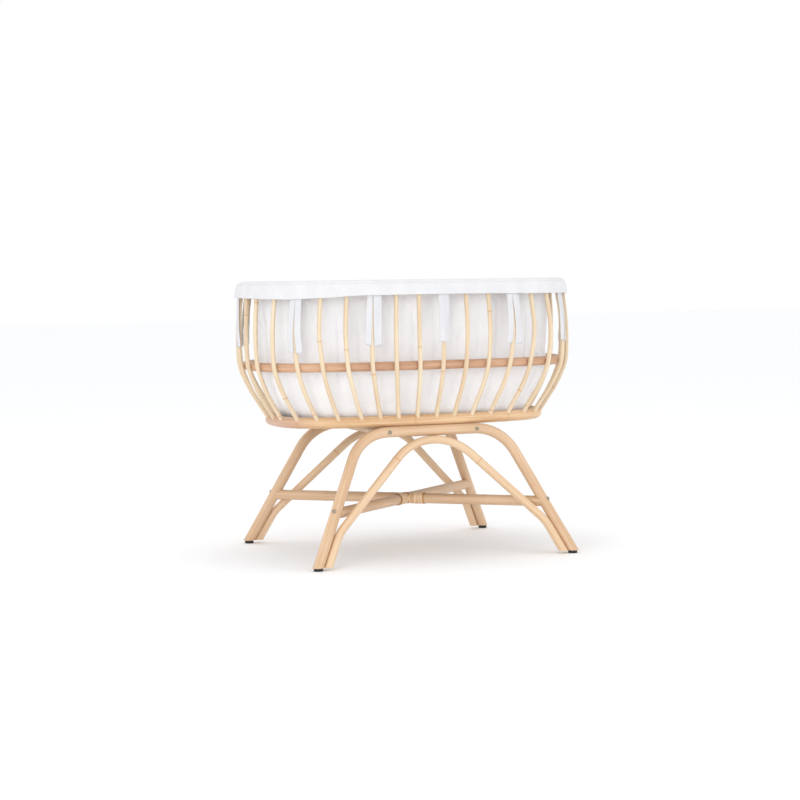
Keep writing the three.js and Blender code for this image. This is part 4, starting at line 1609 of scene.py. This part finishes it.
    def _beside(self, index: int, height: float, offset: float, stand: float) -> tuple[float, float, float]:
        """A point beside a cane's axis, offset along the basket and standing out from it."""
        level = min(height, 0.724)
        share = np.array(self.basket.fraction(index, level))
        oval = SHAPE.oval(level)
        (x, y), (nx, ny) = oval.points(share), oval.outward(share)
        return float(x + nx * stand - ny * offset), float(y + ny * stand + nx * offset), height


# ---------- mattress ----------
@dataclass
class Mattress:
    """A soft foam mattress in a cotton cover with a corded edge."""

    thickness: float = 45 * MM
    inset: float = 40 * MM
    bottom: float = 370.14 * MM
    start_inset: float = 5 * MM
    voxel: float = 6 * MM
    most_moved: float = 8 * MM
    cord_radius: float = 2.2 * MM
    cord_heights: tuple[int, ...] = (7, 38)

    def build(self) -> None:
        """Builds the cover, filled out by simulation, and the cord along its edges."""
        level = 369.84 * MM
        shares = np.arange(160) / 160
        rows = []
        shrink = self.start_inset
        profile = ((9, 0.0), (3, 1.5), (0, 6), (0, 15), (0, 30), (0, 39), (3, 43.5), (9, 45))
        for inward, up in profile:
            spots = SHAPE.oval(level, self.inset + shrink + inward * MM).points(shares)
            height = self.bottom + 1.5 * MM + up * MM * (self.thickness - 5 * MM) / (45 * MM)
            rows.append(np.column_stack([spots, np.full(len(spots), height)]))
        for inward in (30, 60, 90):
            spots = SHAPE.oval(level, self.inset + shrink + inward * MM).points(shares)
            rows.append(np.column_stack([spots, np.full(len(spots), rows[7][0, 2] + inward * 0.012 * MM)]))
        across = np.linspace(0, 1.8, 161)
        pad = cloth_mesh("mattress_pad", rows, across, along_lengths(rows), True)
        only(pad)
        bpy.ops.object.mode_set(mode="EDIT")
        bpy.ops.mesh.select_mode(type="EDGE")
        bpy.ops.mesh.select_all(action="DESELECT")
        bpy.ops.mesh.select_non_manifold()
        bpy.ops.mesh.edge_face_add()
        bpy.ops.object.mode_set(mode="OBJECT")
        tidy_faces(pad)
        applied(pad, "REMESH", mode="VOXEL", voxel_size=self.voxel)
        self._swell(pad)
        self._flatten(pad)
        applied(pad, "SUBSURF", levels=1, render_levels=1)
        pad.data.shade_smooth()
        dress(pad, PAD_FINISH, Body.MATTRESS, "mattress")
        cords = [
            Basket.hoop(f"edge_{up}", self.bottom + up * MM, self._cord_inset(up), self.cord_radius, False)
            for up in self.cord_heights
        ]
        for piece, up in zip(cords, self.cord_heights):
            self._lay_on(piece, pad, up)
        cord = joined("mattress_edge_cord", cords)
        dress(cord, PAD_FINISH, Body.MATTRESS)

    def _cord_inset(self, up: float) -> float:
        """The cord's inset at its own height, which follows the mattress's upright sides."""
        level, cord_level = SHAPE.oval(369.84 * MM), SHAPE.oval(self.bottom + up * MM)
        return self.inset + 0.8 * MM + cord_level.half_width - level.half_width

    def _lay_on(self, cord: bpy.types.Object, pad: bpy.types.Object, up: float) -> None:
        """Draws a cord in or out until it lies on the pad's side all the way round.

        Args:
            cord: the closed cord.
            pad: the finished pad.
            up: how far above the pad's underside the cord is, in millimetres.
        """
        height, count = self.bottom + up * MM, 72
        ring = SHAPE.oval(height, self._cord_inset(up)).points(np.arange(1440) / 1440)
        ring_turn, ring_reach = np.arctan2(ring[:, 1], ring[:, 0]), np.hypot(ring[:, 0], ring[:, 1])
        places = self._places(pad)
        places = places[np.abs(places[:, 2] - height) < 3.5 * MM]
        turn = np.arctan2(places[:, 1], places[:, 0])
        share = np.hypot(places[:, 0], places[:, 1]) / np.interp(turn, ring_turn, ring_reach, period=2 * np.pi)
        sector = np.floor((turn + np.pi) / (2 * np.pi) * count).astype(int) % count
        most = np.array([share[sector == i].max() for i in range(count)])
        middles = (np.arange(count) + 0.5) * 2 * np.pi / count - np.pi
        places = self._places(cord)
        turn = np.arctan2(places[:, 1], places[:, 0])
        reach = np.interp(turn, ring_turn, ring_reach, period=2 * np.pi)
        away = reach * (np.interp(turn, middles, most, period=2 * np.pi) - 1) - 0.3 * MM
        places[:, 0] += away * np.cos(turn)
        places[:, 1] += away * np.sin(turn)
        cord.data.vertices.foreach_set("co", places.astype(np.float32).ravel())
        cord.data.update()

    def _swell(self, pad: bpy.types.Object) -> None:
        """Fills the cover out with air, and caps how far it moves."""
        before = self._places(pad)
        only(pad)
        bpy.ops.object.modifier_add(type="CLOTH")
        modifier = pad.modifiers[-1]
        settings = modifier.settings
        settings.quality = 4
        settings.mass = 0.3
        settings.tension_stiffness = 20
        settings.compression_stiffness = 20
        settings.bending_stiffness = 1.5
        settings.use_pressure = True
        settings.uniform_pressure_force = 4
        settings.effector_weights.gravity = 0
        modifier.point_cache.frame_start = 1
        modifier.point_cache.frame_end = 20
        scene = bpy.context.scene
        for frame in range(1, 21):
            scene.frame_set(frame)
        only(pad)
        bpy.ops.object.modifier_apply(modifier=modifier.name)
        scene.frame_set(1)
        moved = self._places(pad) - before
        reach = np.linalg.norm(moved, axis=1, keepdims=True)
        moved *= np.minimum(1, self.most_moved / np.maximum(reach, 1e-9))
        pad.data.vertices.foreach_set("co", (before + moved).astype(np.float32).ravel())
        pad.data.update()

    def _flatten(self, pad: bpy.types.Object) -> None:
        """Presses the underside flat on the liner's floor."""
        places = self._places(pad)
        places[:, 2] = np.maximum(places[:, 2], self.bottom + 0.1 * MM)
        pad.data.vertices.foreach_set("co", places.astype(np.float32).ravel())
        pad.data.update()

    @staticmethod
    def _places(pad: bpy.types.Object) -> np.ndarray:
        """The pad's points."""
        places = np.zeros(3 * len(pad.data.vertices))
        pad.data.vertices.foreach_get("co", places)
        return places.reshape(-1, 3)


# ---------- studio ----------
@dataclass
class Studio:
    """A plain pale floor, soft lights and the camera."""

    azimuth: float = -21.9376
    distance: float = 5.2204441
    height: float = 0.7346327
    yaw: float = 0.1439
    pitch: float = 3.6028
    roll: float = -0.7723
    lens: float = 86.271
    floor_size: float = 60.0
    sky: float = 1.0

    def build(self) -> None:
        """Builds the floor, the sky, the lights and the camera."""
        self._floor()
        self._sky()
        self._light("key_light", (-3.6, -4.4, 1.5), 2.6, 70)
        self._light("fill_light", (3.4, -4.2, 1.3), 2.6, 26)
        self._light("top_light", (0.1, 0.2, 4.4), 2.0, 14)
        self._camera()

    def _floor(self) -> None:
        """Lays the floor."""
        bpy.ops.object.select_all(action="DESELECT")
        bpy.ops.mesh.primitive_plane_add(size=self.floor_size, location=(0, 0, 0))
        floor = named("studio_floor")
        floor.data.materials.append(made(StudioFinish("studio_paper", (0.975, 0.982, 0.995))))

    def _sky(self) -> None:
        """Lights the whole scene evenly."""
        world = bpy.data.worlds.new("studio_sky")
        bpy.context.scene.world = world
        world.use_nodes = True
        background = world.node_tree.nodes["Background"]
        background.inputs["Color"].default_value = (1.0, 1.0, 1.0, 1.0)
        background.inputs["Strength"].default_value = self.sky

    @staticmethod
    def _light(name: str, place: tuple[float, float, float], size: float, power: float) -> None:
        """Hangs one square soft light that faces the basket."""
        data = bpy.data.lights.new(name, "AREA")
        data.size = size
        data.energy = power
        lamp = bpy.data.objects.new(name, data)
        bpy.context.scene.collection.objects.link(lamp)
        lamp.location = place
        lamp.rotation_euler = (Vector((0, 0, 0.4)) - Vector(place)).to_track_quat("-Z", "Y").to_euler()

    def _camera(self) -> None:
        """Sets the camera up."""
        around = math.radians(self.azimuth)
        place = Vector((self.distance * math.sin(around), -self.distance * math.cos(around), self.height))
        a, e, r = math.radians(self.azimuth + self.yaw), math.radians(self.pitch), math.radians(self.roll)
        forward = Vector((-math.sin(a) * math.cos(e), math.cos(a) * math.cos(e), -math.sin(e)))
        right = Vector((math.cos(a), math.sin(a), 0))
        up = right.cross(forward)
        x_axis = right * math.cos(r) + up * math.sin(r)
        y_axis = up * math.cos(r) - right * math.sin(r)
        data = bpy.data.cameras.new("camera")
        data.lens = self.lens
        data.sensor_width = 36
        data.clip_end = 200
        camera = bpy.data.objects.new("camera", data)
        bpy.context.scene.collection.objects.link(camera)
        turn = Matrix((x_axis, y_axis, -forward)).transposed().to_4x4()
        camera.matrix_world = Matrix.Translation(place) @ turn
        bpy.context.scene.camera = camera


def main() -> None:
    """Loads the frame and builds every piece round it."""
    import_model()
    bpy.context.scene.view_settings.view_transform = "Standard"
    Studio().build()
    Stand().build()
    basket = Basket()
    basket.build()
    Liner(basket).build()
    Mattress().build()


if __name__ == "__main__":
    logging.basicConfig(level=logging.INFO, format="%(message)s")
    main()
